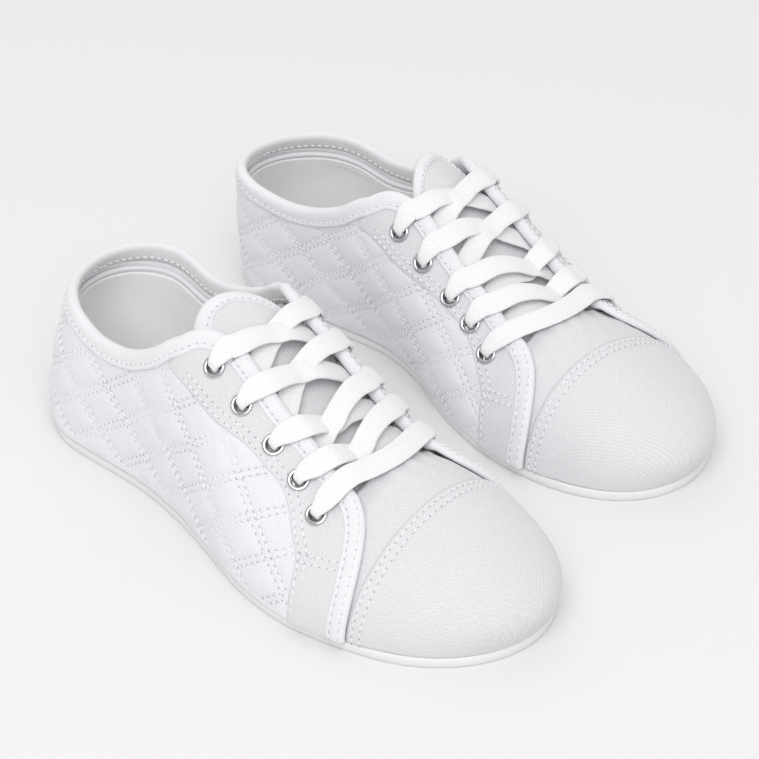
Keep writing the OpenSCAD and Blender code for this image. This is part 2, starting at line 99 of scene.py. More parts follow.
class ShoeSizes(bpy.types.PropertyGroup):
    """Sizes of the shoe's own pieces, in millimetres."""

    tape_width: length("Binding width", "Width of the folded binding on each face, mm", 7.2, 5, 9)
    stitch_length: length("Stitch length", "Visible length of one stitch, mm", 2.2, 1, 4)
    stitch_pitch: length("Stitch pitch", "Distance from one needle hole to the next, mm", 3.1, 2, 5)
    thread_width: length("Thread width", "Width of the sewing thread, mm", 0.75, 0.3, 1)
    twin_gap: length("Twin needle gap", "Distance between the two rows of a seam, mm", 2.5, 1.5, 4)
    quilt_step: length("Quilt step", "Distance between quilting seams along the sole, mm", 26.7, 12, 40)
    quilt_puff: length("Quilt puff", "Height of the padding between the seams, mm", 0.5, 0, 2)
    lace_width: length("Lace width", "Width of the flat lace, mm", 9.4, 5, 12)
    lace_thickness: length("Lace thickness", "Thickness of the flat lace, mm", 1.5, 0.8, 3)
    eyelet_width: length("Eyelet width", "Outer diameter of an eyelet flange, mm", 8.6, 7, 12)
    eyelet_hole: length("Eyelet hole", "Diameter of an eyelet's hole, mm", 5.4, 4, 7)
    cloth_thread: length("Canvas thread", "Spacing of the canvas threads, mm", 0.72, 0.3, 2)


class ShoeColours(bpy.types.PropertyGroup):
    """Colours of the finishes."""

    canvas: colour("Canvas", "Bleached cotton canvas", "#E3E2E5")
    quilted: colour("Quilted canvas", "Bleached canvas over thin wadding", "#EDEDF2")
    tape: colour("Binding", "Folded cotton binding tape", "#EBEBEE")
    lining: colour("Lining", "Brushed cotton lining", "#F6F4F6")
    lace: colour("Lace", "Knitted polyester lace", "#F3F3F5")
    # Painted shade: the grey of the dark dots put at the needle holes.
    thread: colour("Thread", "White polyester sewing thread", "#EFEFF2")
    needle_hole_shade: colour("Needle hole", "Shade in the holes of the needle", "#B9B9BE")
    nickel: colour("Nickel", "Polished nickel plate", "#D4D4D7")
    rubber: colour("Rubber", "White moulded rubber", "#E9E9E8")
    footbed: colour("Footbed", "Brushed footbed textile", "#EFEDE9")
    board: colour("Board", "Pressed cellulose board", "#CDBFA6")
    stiffener: colour("Stiffener", "Resin-stiffened cloth", "#DAD4C6")
    film: colour("Aglet film", "Clear acetate film", "#E6E6E4")


class StudioSettings(bpy.types.PropertyGroup):
    """The floor, the lights and the camera."""

    floor: colour("Floor", "Pale studio floor", "#E7E7E7")
    key_power: bpy.props.FloatProperty(name="Key light", description="Power of the soft key light",
                                       default=54.0, min=0, unit="POWER")
    fill_power: bpy.props.FloatProperty(name="Fill light", description="Power of the soft fill light",
                                        default=12.0, min=0, unit="POWER")
    sky: bpy.props.FloatProperty(name="Sky", description="Strength of the white surroundings",
                                 default=0.63, min=0, max=3)
    azimuth: bpy.props.FloatProperty(name="Azimuth", description="Compass angle of the camera",
                                     default=math.radians(-46.97), subtype="ANGLE")
    elevation: bpy.props.FloatProperty(name="Elevation", description="Height angle of the camera",
                                       default=math.radians(32.94), subtype="ANGLE")
    distance: bpy.props.FloatProperty(name="Distance", description="Camera to the aim point",
                                      default=1.029, min=0.2, unit="LENGTH")
    lens: bpy.props.FloatProperty(name="Lens", description="Focal length on a 36 mm sensor",
                                  default=123.5, min=20, subtype="DISTANCE_CAMERA")


def sizes():
    return bpy.context.scene.shoe_sizes


def colours():
    return bpy.context.scene.shoe_colours


# ---------------------------------------------------------------- the last: surface of the upper

_sole_low, _sole_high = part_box("right_outsole")
SOLE_LIP = 0.4                                                     # rubber standing out past the upper
SOLE_LEN = round((_sole_high.y - _sole_low.y) / MM - 2 * SOLE_LIP, 1)
SOLE_TOP = round((_sole_high.z - _sole_low.z) / MM + 0.05, 2)

# knots every tenth of the length
HALF_WIDTH = [56, 49, 37.5, 30.5, 28.7, 33.5, 43, 50.7, 56, 62, 68]
CENTRE = [-1, 0, 2, 4.5, 8.2, 9.8, 9, 7.5, 5.5, 4, 2]
RIDGE = [-9, -6, -3, -1, 0, 0, 0, 0, 0, 1, 2]
HEIGHT = [90, 90, 90, 92, 88, 77, 62, 50, 44, 41.5, 41]
SHOULDER = [.75, .75, .75, .75, .72, .64, .52, .42, .52, .6, .65]
UPPER_WIDTH = [45, 39, 30, 24, 22, 20, 21.5, 24, 28, 36, 41]
BULGE_OUT = [0, 1, 2, 3, 4, 4, 2, 1, 1, 1.5, 1.5]
BULGE_IN = [0, 1, 4, 12, 22, 20, 9, 2, 1, 1.5, 1.5]
HEEL_LEAN = 13
HEEL_SWING = 7

# lines on the surface as (angle round the sole, share of the way up)
RIM_OUT = [.397, .396, .395, .393, .383, .358, .342, .42, .655]
RIM_IN = [.397, .396, .395, .393, .383, .363, .36, .435, .655]
RIM_ANGLES = [.8, 9, 18, 27, 36, 45, 54, 63, 70, 75]
SEAM = [[77, .428], [83, .43], [89, .44], [97, .50], [104, .515], [108, .48], [111, .412],
        [113.7, .35], [115, .26], [116, .14], [116.4, .004]]
THROAT = [[76.5, .565], [79.5, .655], [83, .715], [87.5, .745], [94, .735], [100, .735], [106, .74],
          [112, .72], [117, .705], [121, .65], [124.2, .56], [126.8, .43], [128.3, .29], [128.9, .15],
          [129, .004]]
SOLE_FRONT = [[119, .004], [121.5, .004], [123.6, .004]]
EYELETS_OUT = [[85, .58], [92.3, .573], [100.2, .588], [107, .578], [113.2, .53]]
EYELETS_IN = [[-85.5, .555], [-92.2, .550], [-99.6, .560], [-105.4, .556], [-111.2, .512]]
CAP_EDGE = 129.6


def knots(table, t):
    """Smooth value of a knot table at t, from 0 at the heel to 1 at the toe."""
    table = np.asarray(table, float)
    last = len(table) - 1
    u = np.clip(t, 0, 1) * last
    i = np.clip(np.floor(u).astype(int), 0, last - 1)
    padded = np.concatenate([[2 * table[0] - table[1]], table, [2 * table[-1] - table[-2]]])
    return catmull(padded[i], padded[i + 1], padded[i + 2], padded[i + 3], u - i)


def catmull(a, b, c, d, f):
    return .5 * (2 * b + (c - a) * f + (2 * a - 5 * b + 4 * c - d) * f**2 + (3 * b - a - 3 * c + d) * f**3)


def smooth(a, b, x):
    u = np.clip((np.asarray(x, float) - a) / (b - a), 0, 1)
    return u * u * (3 - 2 * u)


def mix(a, b, f):
    return a + (b - a) * f


def surface(p, q):
    """Point of the upper: p is the angle round the sole in degrees, q runs 0 at the sole to 1 at the ridge."""
    p, q = np.broadcast_arrays(np.asarray(p, float), np.asarray(q, float))
    turn = np.radians(p)
    sn = np.sin(turn)
    t = (1 - np.cos(turn)) / 2
    edge_x = knots(CENTRE, t) + knots(HALF_WIDTH, t) * sn
    ridge_x = knots(RIDGE, t)
    u = np.clip((t - .8) / .2, 0, 1)
    top = knots(HEIGHT, t) * (.25 + .75 * np.sqrt(1 - u * u))
    bulge = np.where(sn >= 0, knots(BULGE_OUT, t), -knots(BULGE_IN, t))
    side_x = edge_x + bulge * np.minimum(1, np.abs(sn) * 1.5)
    side_z = SOLE_TOP + knots(SHOULDER, t) * (top - SOLE_TOP)
    upper_x = ridge_x + knots(UPPER_WIDTH, t) * sn
    a0, a1, a2, a3 = (1 - q)**3, 3 * q * (1 - q)**2, 3 * q * q * (1 - q), q**3
    z = a0 * SOLE_TOP + a1 * side_z + (a2 + a3) * top
    e = (z - SOLE_TOP) / 60
    x = a0 * edge_x + a1 * side_x + a2 * upper_x + a3 * ridge_x - HEEL_SWING * e * np.maximum(0, 1 - t / .4)
    heel = np.maximum(0, 1 - t / .25)**2
    toe = np.maximum(0, (t - .75) / .25)**2
    s = SOLE_LEN * t + heel * (HEEL_LEAN * e * e - 7 * e * np.maximum(0, 1 - e))
    s = s + toe * 5 * np.sin(np.pi * np.clip((z - SOLE_TOP) / 30, 0, 1))
    return np.stack([x, s, z], -1)


def unit(v):
    return v / np.maximum(np.linalg.norm(v, axis=-1, keepdims=True), 1e-9)


def along_p(p, q):
    return (surface(p + .4, q) - surface(p - .4, q)) / .8


def along_q(p, q):
    low, high = np.maximum(0, q - .01), np.minimum(1, q + .01)
    return (surface(p, high) - surface(p, low)) / (high - low)[..., None]


def normal(p, q):
    p, q = np.broadcast_arrays(np.asarray(p, float), np.asarray(q, float))
    return unit(np.cross(along_p(p, q), along_q(p, q)))


def lifted(p, q, offset):
    """Point at an offset out from the surface, mm."""
    return surface(p, q) + normal(p, q) * np.asarray(offset, float)[..., None]


def at_x_s(x, s):
    """Angle and share of the surface point at a distance x from the middle and s from the heel."""
    x, s = np.broadcast_arrays(np.asarray(x, float), np.asarray(s, float))
    p = np.degrees(np.arccos(1 - 2 * s / SOLE_LEN)) * np.where(x < 0, -1, 1)
    low, high = np.full(p.shape, .3), np.ones(p.shape)
    for _ in range(20):
        middle = (low + high) / 2
        outside = np.abs(surface(p, middle)[..., 0]) > np.abs(x)
        low = np.where(outside, middle, low)
        high = np.where(outside, high, middle)
    return p, (low + high) / 2


def shifted(line, w):
    """A line on the surface moved sideways by w mm, to the left of its travel seen from outside."""
    line = np.asarray(line, float)
    p, q = line[:, 0], line[:, 1]
    step = np.gradient(line, axis=0)
    u, v = along_p(p, q), along_q(p, q)
    travel = u * step[:, :1] + v * step[:, 1:]
    side = unit(np.cross(normal(p, q), travel))
    e, f, g = (u * u).sum(-1), (u * v).sum(-1), (v * v).sum(-1)
    d = e * g - f * f
    su, sv = (side * u).sum(-1), (side * v).sum(-1)
    return np.stack([p + w * (su * g - sv * f) / d, q + w * (sv * e - su * f) / d], -1)


def finely(line, parts=16):
    """Catmull-Rom curve through the knots of a line."""
    line = np.asarray(line, float)
    padded = np.concatenate([[2 * line[0] - line[1]], line, [2 * line[-1] - line[-2]]])
    rows = [catmull(padded[i], padded[i + 1], padded[i + 2], padded[i + 3], k / parts)
            for i in range(len(line) - 1) for k in range(parts)]
    return np.array(rows + [line[-1]])


def travelled(points):
    """Distance along a row of points from its first."""
    return np.concatenate([[0], np.cumsum(np.linalg.norm(np.diff(points, axis=0), axis=1))])


def paced(line, step):
    """The same line with its points one step apart on the surface, mm."""
    line = np.asarray(line, float)
    far = travelled(surface(line[:, 0], line[:, 1]))
    count = max(2, int(round(far[-1] / step)) + 1)
    at = np.linspace(0, far[-1], count)
    return np.stack([np.interp(at, far, line[:, 0]), np.interp(at, far, line[:, 1])], -1)


_PT, _QT = np.linspace(-180, 180, 361), np.linspace(0, 1, 61)
_NET = surface(_PT[:, None], _QT[None, :])
_ALONG = travelled(surface(_PT, np.full(361, .2)))
_ALONG = _ALONG - _ALONG[180]
_CLIMB = np.linalg.norm(np.diff(_NET, axis=1), axis=2)
_UP = np.concatenate([np.zeros((361, 1)), np.cumsum(_CLIMB, axis=1)], 1)


def side_map(p, q):
    """Cloth coordinates on the side of the shoe, mm: u along the sole from the heel, v up from the sole."""
    i = np.clip(np.floor(p + 180).astype(int), 0, 359)
    j = np.clip(np.floor(q * 60).astype(int), 0, 59)
    f, g = p + 180 - i, q * 60 - j
    low = mix(_UP[i, j], _UP[i, j + 1], g)
    high = mix(_UP[i + 1, j], _UP[i + 1, j + 1], g)
    return np.stack([np.interp(p, _PT, _ALONG), mix(low, high, f)], -1)


def side_point(u, v):
    """The angle and share at cloth coordinates u, v."""
    p = np.interp(u, _ALONG, _PT)
    i = np.clip(np.floor(p + 180).astype(int), 0, 359)
    rows = mix(_UP[i], _UP[i + 1], (p + 180 - i)[:, None])
    return p, np.array([np.interp(b, row, _QT) for b, row in zip(v, rows)])


def top_map(p, q):
    """Cloth coordinates over the toe and the tongue, mm: the cloth rolled down from the ridge line."""
    ridge = surface(p, np.ones_like(p))
    base = surface(p, np.zeros_like(p))
    up = side_map(p, q)[..., 1]
    full = side_map(p, np.ones_like(p))[..., 1]
    out = unit((base - ridge)[..., :2] + 1e-6)
    return ridge[..., :2] + out * (full - up)[..., None]


def ripple(u, v, wave, seed):
    """Gentle unevenness of hand-made cloth, from -1 to 1."""
    rng = np.random.default_rng(seed)
    total = np.zeros(np.broadcast(u, v).shape)
    for _ in range(6):
        angle, phase, stretch = rng.uniform(0, np.pi), rng.uniform(0, 2 * np.pi), rng.uniform(.7, 1.5)
        k = 2 * np.pi / (wave * stretch)
        total = total + np.sin(k * (u * np.cos(angle) + v * np.sin(angle)) + phase)
    return total / 4


# ---------------------------------------------------------------- meshes

HAND = {"right": -1, "left": 1}
BEND_AT = (0, 189, 39)                                             # the tongue joint in the shoe's frame, mm


def placement(side):
    """Matrix from the shoe's own frame in mm to the shared frame in metres, from the tongue joint."""
    joint = next(j for j in frame["joints"] if j["name"] == side + "_tongue_bend")
    axis = Vector(joint["axis"])
    x_way = axis * HAND[side]
    s_way = Vector((axis.y, -axis.x, 0))
    turn = Matrix((x_way, s_way, Vector((0, 0, 1)))).transposed() * MM
    origin = Vector(joint["pos_m"]) - turn @ Vector(BEND_AT)
    return Matrix.Translation(origin) @ turn.to_4x4()


def cloth(points, uv, wrap=False, caps=False):
    """A mesh over a grid of points; wrap joins the last column to the first, caps closes both ends."""
    rows, columns = points.shape[:2]
    bm = bmesh.new()
    bmesh.ops.create_grid(bm, x_segments=columns - 1, y_segments=rows - 1, size=.5)
    mesh = bpy.data.meshes.new("cloth")
    bm.to_mesh(mesh)
    bm.free()
    mesh.vertices.foreach_set("co", np.ascontiguousarray(points, np.float32).reshape(-1))
    corner = np.zeros(len(mesh.loops), np.int32)
    mesh.loops.foreach_get("vertex_index", corner)
    layer = mesh.uv_layers.new(name="cloth_mm")
    layer.data.foreach_set("uv", np.ascontiguousarray(uv.reshape(-1, 2)[corner], np.float32).reshape(-1))
    if wrap or caps:
        bm = bmesh.new()
        bm.from_mesh(mesh)
        bmesh.ops.remove_doubles(bm, verts=bm.verts, dist=1e-4)
        if caps:
            bmesh.ops.holes_fill(bm, edges=[e for e in bm.edges if e.is_boundary], sides=0)
        bm.to_mesh(mesh)
        bm.free()
    mesh.update()
    return mesh


def faced(mesh, p, q):
    """Turns an open sheet so that its faces look out from the surface."""
    face = mesh.polygons[len(mesh.polygons) // 2]
    middle = np.array(face.center)
    grid = surface(p, q).reshape(-1, 3)
    near = np.argmin(((grid - middle)**2).sum(-1))
    out = normal(p, q).reshape(-1, 3)[near]
    if np.dot(np.array(face.normal), out) < 0:
        mesh.flip_normals()
    return mesh


def closed(mesh):
    """Turns the faces of a closed piece outwards."""
    bm = bmesh.new()
    bm.from_mesh(mesh)
    bmesh.ops.recalc_face_normals(bm, faces=bm.faces)
    bm.to_mesh(mesh)
    bm.free()
    return mesh


def sheet_on(p, q, offset, uv, drop=None):
    """An open sheet laid on the surface. drop, where given, marks grid cells that are cut away."""
    p, q = np.broadcast_arrays(p, q)
    mesh = faced(cloth(lifted(p, q, np.broadcast_to(offset, p.shape)), uv), p, q)
    if drop is not None:
        bm = bmesh.new()
        bm.from_mesh(mesh)
        bm.faces.ensure_lookup_table()
        gone = [bm.faces[i] for i in np.flatnonzero(drop.reshape(-1))]
        bmesh.ops.delete(bm, geom=gone, context="FACES")
        bm.to_mesh(mesh)
        bm.free()
    return mesh


def swept(rings, across, caps=True):
    """A closed band from a grid of section points, with u along it and v across it, in mm."""
    ring = np.concatenate([rings, rings[:, :1]], 1)
    middle = rings.mean(1)
    far = np.concatenate([[0], np.cumsum(np.linalg.norm(np.diff(middle, axis=0), axis=1))])
    uv = np.stack(np.broadcast_arrays(across[None, :], far[:, None]), -1)
    return closed(cloth(ring, uv, wrap=True, caps=caps))


def add_piece(name, mesh, part, nodes, materials, thickness=0.0):
    """Places one mesh for both feet, gives it its finish and lets it ride on its body."""
    made = []
    for side in HAND:
        own = mesh.copy()
        own.transform(placement(side))
        if HAND[side] > 0:
            own.flip_normals()
        obj = bpy.data.objects.new(f"{side}_{name}", own)
        bpy.context.scene.collection.objects.link(obj)
        own.shade_smooth()
        for material in materials:
            own.materials.append(material)
        if thickness:
            wall = obj.modifiers.new("Cloth thickness", "SOLIDIFY")
            wall.thickness = thickness * MM
            wall.offset = -1
            wall.use_even_offset = False
        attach(obj, f"{side}_{part}")
        if nodes:
            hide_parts(*[f"{side}_{n}" for n in nodes])
        made.append(obj)
    bpy.data.meshes.remove(mesh)
    return made


# ---------------------------------------------------------------- materials


def add(tree, kind, inputs=None, **settings):
    """Adds a node, with its settings and with its inputs set or linked."""
    node = tree.nodes.new(kind)
    for key, value in settings.items():
        setattr(node, key, value)
    for key, value in (inputs or {}).items():
        if isinstance(value, bpy.types.NodeSocket):
            tree.links.new(value, node.inputs[key])
        else:
            node.inputs[key].default_value = value
    return node


def new_material(name):
    """A material with an empty tree, its shader and its output."""
    material = bpy.data.materials.new(name)
    material.use_nodes = True
    tree = material.node_tree
    tree.nodes.clear()
    shader = add(tree, "ShaderNodeBsdfPrincipled")
    add(tree, "ShaderNodeOutputMaterial", {"Surface": shader.outputs[0]})
    return material, tree, shader


def wired(tree, shader, colour_out, height, depth, strength=.8):
    """Joins the colour and the relief, in mm, to the shader."""
    bump = add(tree, "ShaderNodeBump", {"Height": height, "Distance": depth * MM, "Strength": strength})
    tree.links.new(colour_out, shader.inputs["Base Color"])
    tree.links.new(bump.outputs[0], shader.inputs["Normal"])


def shaded(tree, height, base, share, low=0.0, high=1.0):
    """The base colour, falling to a darker share of it where the height is low. Over the woven and knitted reliefs
    this is painted shade in their hollows; over the grain, twist and wear noises it is a random tone.
    """
    ramp = add(tree, "ShaderNodeMapRange", {0: height, 1: low, 2: high}).outputs[0]
    dark = [c * share for c in base[:3]] + [1.0]
    return add(tree, "ShaderNodeMix", {0: ramp, 6: dark, 7: list(base)}, data_type="RGBA").outputs[2]


def plain_weave(name, base, pitch, depth, roughness, sheen=.25, contrast=.86):
    """Plain-woven cotton, made of warp and weft threads that pass over and under each other."""
    # To the eye: a fine grid of round thread tops, matt, with soft slubs and a slight bloom at the edges.
    material, tree, shader = new_material(name)
    uv = add(tree, "ShaderNodeUVMap", uv_map="cloth_mm").outputs[0]
    wander = add(tree, "ShaderNodeTexNoise", {"Vector": uv, "Scale": .45, "Detail": 3.0}).outputs[0]
    slub = add(tree, "ShaderNodeMath", {0: wander, 1: 9.0}, operation="MULTIPLY").outputs[0]
    axes = add(tree, "ShaderNodeSeparateXYZ", {0: uv})
    threads = []
    for axis in (0, 1):
        turn = add(tree, "ShaderNodeMath", {0: axes.outputs[axis], 1: math.pi / pitch, 2: slub},
                   operation="MULTIPLY_ADD").outputs[0]
        threads.append(add(tree, "ShaderNodeMath", {0: turn}, operation="SINE").outputs[0])
    crossed = add(tree, "ShaderNodeMath", {0: threads[0], 1: threads[1]}, operation="MULTIPLY").outputs[0]
    fuzz = add(tree, "ShaderNodeTexNoise", {"Vector": uv, "Scale": 2.2, "Detail": 3.0}).outputs[0]
    relief = add(tree, "ShaderNodeMath", {0: crossed, 1: .3, 2: fuzz}, operation="MULTIPLY_ADD").outputs[0]
    # The colour falls to the contrast share of itself where the threads dip between crossings: painted shade in
    # the hollows of the weave.
    woven = shaded(tree, relief, base, contrast, .25, .8)
    blotch = add(tree, "ShaderNodeTexNoise", {"Vector": uv, "Scale": .045, "Detail": 2.0}).outputs[0]
    worn = add(tree, "ShaderNodeMath", {0: blotch, 1: .07}, operation="MULTIPLY").outputs[0]
    soft = add(tree, "ShaderNodeMix", {0: worn, 6: woven, 7: (.6, .6, .62, 1)}, data_type="RGBA").outputs[2]
    wired(tree, shader, soft, relief, depth)
    shader.inputs["Roughness"].default_value = roughness
    shader.inputs["Sheen Weight"].default_value = sheen
    shader.inputs["Specular IOR Level"].default_value = .3
    return material


def binding_twill():
    """Cotton binding tape, woven as a twill and folded over the raw edge."""
    # To the eye: fine slanting ribs, a little smoother and brighter than the canvas.
    material, tree, shader = new_material("cotton binding twill")
    uv = add(tree, "ShaderNodeUVMap", uv_map="cloth_mm").outputs[0]
    axes = add(tree, "ShaderNodeSeparateXYZ", {0: uv})
    slope = add(tree, "ShaderNodeMath", {0: axes.outputs[0], 1: .8, 2: axes.outputs[1]},
                operation="MULTIPLY_ADD").outputs[0]
    turn = add(tree, "ShaderNodeMath", {0: slope, 1: 2 * math.pi / .7}, operation="MULTIPLY").outputs[0]
    rib = add(tree, "ShaderNodeMath", {0: turn}, operation="SINE").outputs[0]
    fuzz = add(tree, "ShaderNodeTexNoise", {"Vector": uv, "Scale": 1.8, "Detail": 3.0}).outputs[0]
    relief = add(tree, "ShaderNodeMath", {0: rib, 1: .3, 2: fuzz}, operation="MULTIPLY_ADD").outputs[0]
    # The colour falls to .91 of itself in the hollows between the ribs: painted shade.
    wired(tree, shader, shaded(tree, relief, colours().tape, .91, .2, .8), relief, .08)
    shader.inputs["Roughness"].default_value = .85
    shader.inputs["Sheen Weight"].default_value = .25
    return material


def lace_knit():
    """Tubular polyester lace, knitted in slanting loops and pressed flat."""
    # To the eye: small rice-grain stitches in chevron columns, soft, with a slight yarn shine.
    material, tree, shader = new_material("knitted polyester lace")
    uv = add(tree, "ShaderNodeUVMap", uv_map="cloth_mm").outputs[0]
    axes = add(tree, "ShaderNodeSeparateXYZ", {0: uv})
    column = add(tree, "ShaderNodeMath", {0: axes.outputs[0], 1: sizes().lace_width / 10},
                 operation="PINGPONG").outputs[0]
    slope = add(tree, "ShaderNodeMath", {0: column, 1: .9, 2: axes.outputs[1]},
                operation="MULTIPLY_ADD").outputs[0]
    turn = add(tree, "ShaderNodeMath", {0: slope, 1: 2 * math.pi / 1.15}, operation="MULTIPLY").outputs[0]
    rib = add(tree, "ShaderNodeMath", {0: turn}, operation="SINE").outputs[0]
    grain = add(tree, "ShaderNodeTexNoise", {"Vector": uv, "Scale": 1.6, "Detail": 3.0}).outputs[0]
    relief = add(tree, "ShaderNodeMath", {0: rib, 1: .2, 2: grain}, operation="MULTIPLY_ADD").outputs[0]
    # The colour falls to .86 of itself in the hollows between the loops: painted shade.
    wired(tree, shader, shaded(tree, relief, colours().lace, .86, .25, .75), relief, .2)
    shader.inputs["Roughness"].default_value = .7
    shader.inputs["Sheen Weight"].default_value = .3
    return material


def sewing_thread():
    """Spun polyester sewing thread, twisted from three plies."""
    # To the eye: bright round dashes with a fine uneven twist.
    material, tree, shader = new_material("spun polyester thread")
    place = add(tree, "ShaderNodeTexCoord").outputs["Object"]
    twist = add(tree, "ShaderNodeTexNoise", {"Vector": place, "Scale": 3000.0, "Detail": 1.0}).outputs[0]
    wired(tree, shader, shaded(tree, twist, colours().thread, .93), twist, .03)
    shader.inputs["Roughness"].default_value = .55
    shader.inputs["Sheen Weight"].default_value = .2
    return material


def needle_shade():
    """Painted shade: a dark grey dot standing for the shade down in the needle hole at each end of a stitch."""
    # To the eye: a small soft dark dot at each end of a stitch.
    material, tree, shader = new_material("shaded needle hole")
    place = add(tree, "ShaderNodeTexCoord").outputs["Object"]
    patch = add(tree, "ShaderNodeTexNoise", {"Vector": place, "Scale": 400.0}).outputs[0]
    wired(tree, shader, shaded(tree, patch, colours().needle_hole_shade, .8), patch, .03)
    shader.inputs["Roughness"].default_value = .95
    return material


def polished_nickel():
    """Nickel-plated brass, turned and polished."""
    # To the eye: a bright rolled ring that mirrors the studio, with hair-fine wear.
    material, tree, shader = new_material("polished nickel plate")
    place = add(tree, "ShaderNodeTexCoord").outputs["Object"]
    wear = add(tree, "ShaderNodeTexNoise", {"Vector": place, "Scale": 900.0, "Detail": 4.0}).outputs[0]
    wired(tree, shader, shaded(tree, wear, colours().nickel, .85, .3, .6), wear, .01, .2)
    tree.links.new(add(tree, "ShaderNodeMapRange", {0: wear, 3: .06, 4: .2}).outputs[0],
                   shader.inputs["Roughness"])
    shader.inputs["Metallic"].default_value = 1
    return material


def speckled(name, base, grain, depth, roughness, contrast=.92):
    """Moulded rubber, pressed board, stiffened cloth or film: one body with a fine even grain, in mm."""
    # To the eye: a plain smooth surface with a faint speckle and a broad unevenness in its shine.
    material, tree, shader = new_material(name)
    place = add(tree, "ShaderNodeTexCoord").outputs["Object"]
    fine = add(tree, "ShaderNodeTexNoise", {"Vector": place, "Scale": 1 / (grain * MM), "Detail": 3.0}).outputs[0]
    broad = add(tree, "ShaderNodeTexNoise", {"Vector": place, "Scale": 40.0, "Detail": 2.0}).outputs[0]
    tone = add(tree, "ShaderNodeMath", {0: fine, 1: broad}, operation="ADD").outputs[0]
    wired(tree, shader, shaded(tree, tone, base, contrast, .7, 1.2), fine, depth, .5)
    tree.links.new(add(tree, "ShaderNodeMapRange", {0: broad, 3: roughness - .06, 4: roughness + .06}).outputs[0],
                   shader.inputs["Roughness"])
    return material


FINISHES = {}


def finish(kind):
    """The finish of that kind, made once."""
    if kind not in FINISHES:
        c, weave = colours(), sizes().cloth_thread
        FINISHES[kind] = {
            "canvas": lambda: plain_weave("bleached cotton canvas", c.canvas, weave, .18, .9),
            "quilted": lambda: plain_weave("quilted cotton canvas", c.quilted, weave, .15, .9),
            "tongue": lambda: plain_weave("tongue canvas", c.canvas, weave, .18, .9),
            "lining": lambda: plain_weave("brushed cotton lining", c.lining, .6, .06, .95, .4, .95),
            "footbed": lambda: plain_weave("brushed footbed textile", c.footbed, .9, .08, .95, .4, .93),
            "tape": binding_twill,
            "lace": lace_knit,
            "thread": sewing_thread,
            "needle": needle_shade,
            "nickel": polished_nickel,
            "rubber": lambda: speckled("moulded white rubber", c.rubber, .5, .03, .5, .95),
            "board": lambda: speckled("pressed cellulose board", c.board, .8, .06, .85, .8),
            "stiffener": lambda: speckled("resin-stiffened cloth", c.stiffener, .6, .05, .8, .88),
            "film": lambda: speckled("acetate aglet film", c.film, 1.5, .02, .25, .95),
        }[kind]()
    return FINISHES[kind]


# ---------------------------------------------------------------- seam lines shared by the pieces


def rim_line(sd):
    """Collar edge from the heel to the throat, on the outer (1) or inner (-1) side."""
    table = RIM_OUT if sd > 0 else RIM_IN
    collar = np.array([[sd * p, float(knots(table, p / 80))] for p in RIM_ANGLES])
    return collar, np.array(THROAT) * [sd, 1]


def collar_inner(sd, w):
    """The collar edge moved down by w."""
    collar, throat = rim_line(sd)
    line = finely(np.concatenate([collar, throat[:2]]), 6)
    moved = shifted(line, -w * sd)
    keep = len(collar) * 6 - 5
    return moved[:keep]


def throat_line(sd, w=0.0, parts=12):
    """Throat and front edge down to the sole, moved in by w."""
    line = finely(np.array(THROAT) * [sd, 1], parts)
    return shifted(line, -w * sd) if w else line


def seam_line(sd, w=0.0, parts=12):
    """Seam between the quarter and the eyestay, moved towards the throat by w."""
    line = finely(np.array(SEAM) * [sd, 1], parts)
    return shifted(line, w * sd) if w else line


# ---------------------------------------------------------------- stitching


def stitch_mesh():
    """One stitch: a rounded bead of thread, 2 mm long before scaling."""
    bm = bmesh.new()
    bmesh.ops.create_uvsphere(bm, u_segments=6, v_segments=5, radius=1)
    bmesh.ops.rotate(bm, verts=bm.verts, cent=(0, 0, 0), matrix=Matrix.Rotation(math.pi / 2, 3, "Y"))
    mesh = bpy.data.meshes.new("stitch")
    bm.to_mesh(mesh)
    bm.free()
    return mesh


class Sewing:
    """Collects stitches and the dark dots of painted needle-hole shade for one piece."""

    def __init__(self):
        self.bm = bmesh.new()
        self.bead = stitch_mesh()

    def bead_at(self, centre, way, out, half, width, depth, slot):
        side = np.cross(out, way)
        basis = Matrix(((*(way * half), 0), (*(side * width), 0), (*(out * depth), 0), (0, 0, 0, 1)))
        basis.transpose()
        basis.translation = Vector(centre)
        copy = self.bead.copy()
        copy.transform(basis)
        if slot:
            copy.polygons.foreach_set("material_index", [slot] * len(copy.polygons))
        self.bm.from_mesh(copy)
        bpy.data.meshes.remove(copy)

    def row(self, line, offset, pitch=None, skip=None):
        """A row of stitches along a line on the surface, at an offset out from it."""
        pitch = pitch or sizes().stitch_pitch
        line = paced(line, pitch / 2)
        if len(line) < 3:
            return
        p, q = line[:, 0], line[:, 1]
        offset = np.broadcast_to(offset(p, q) if callable(offset) else offset, p.shape)
        points, out = lifted(p, q, offset), normal(p, q)
        self.run(points, out, skip)

    def run(self, points, out, skip=None):
        """Stitches on points half a pitch apart: even ones are small dark discs of painted shade for the needle
        holes, odd ones thread.
        """
        way = unit(np.gradient(points, axis=0))
        half = sizes().stitch_length / 2
        width = sizes().thread_width / 2
        for i in range(len(points)):
            if skip is not None and skip[i]:
                continue
            if i % 2:
                self.bead_at(points[i], way[i], out[i], half, width, width * .9, 0)
            else:
                # A flat dark disc sunk a little into the cloth: painted shade in the needle hole.
                self.bead_at(points[i] - out[i] * .02, way[i], out[i], width * .75, width * .8, .12, 1)

    def piece(self, name, part="shoe", slot="canvas"):
        mesh = bpy.data.meshes.new("sewing")
        self.bm.to_mesh(mesh)
        self.bm.free()
        bpy.data.meshes.remove(self.bead)
        return add_piece(name, mesh, part, [], [finish("thread"), finish("needle")])


# ---------------------------------------------------------------- quilted quarters

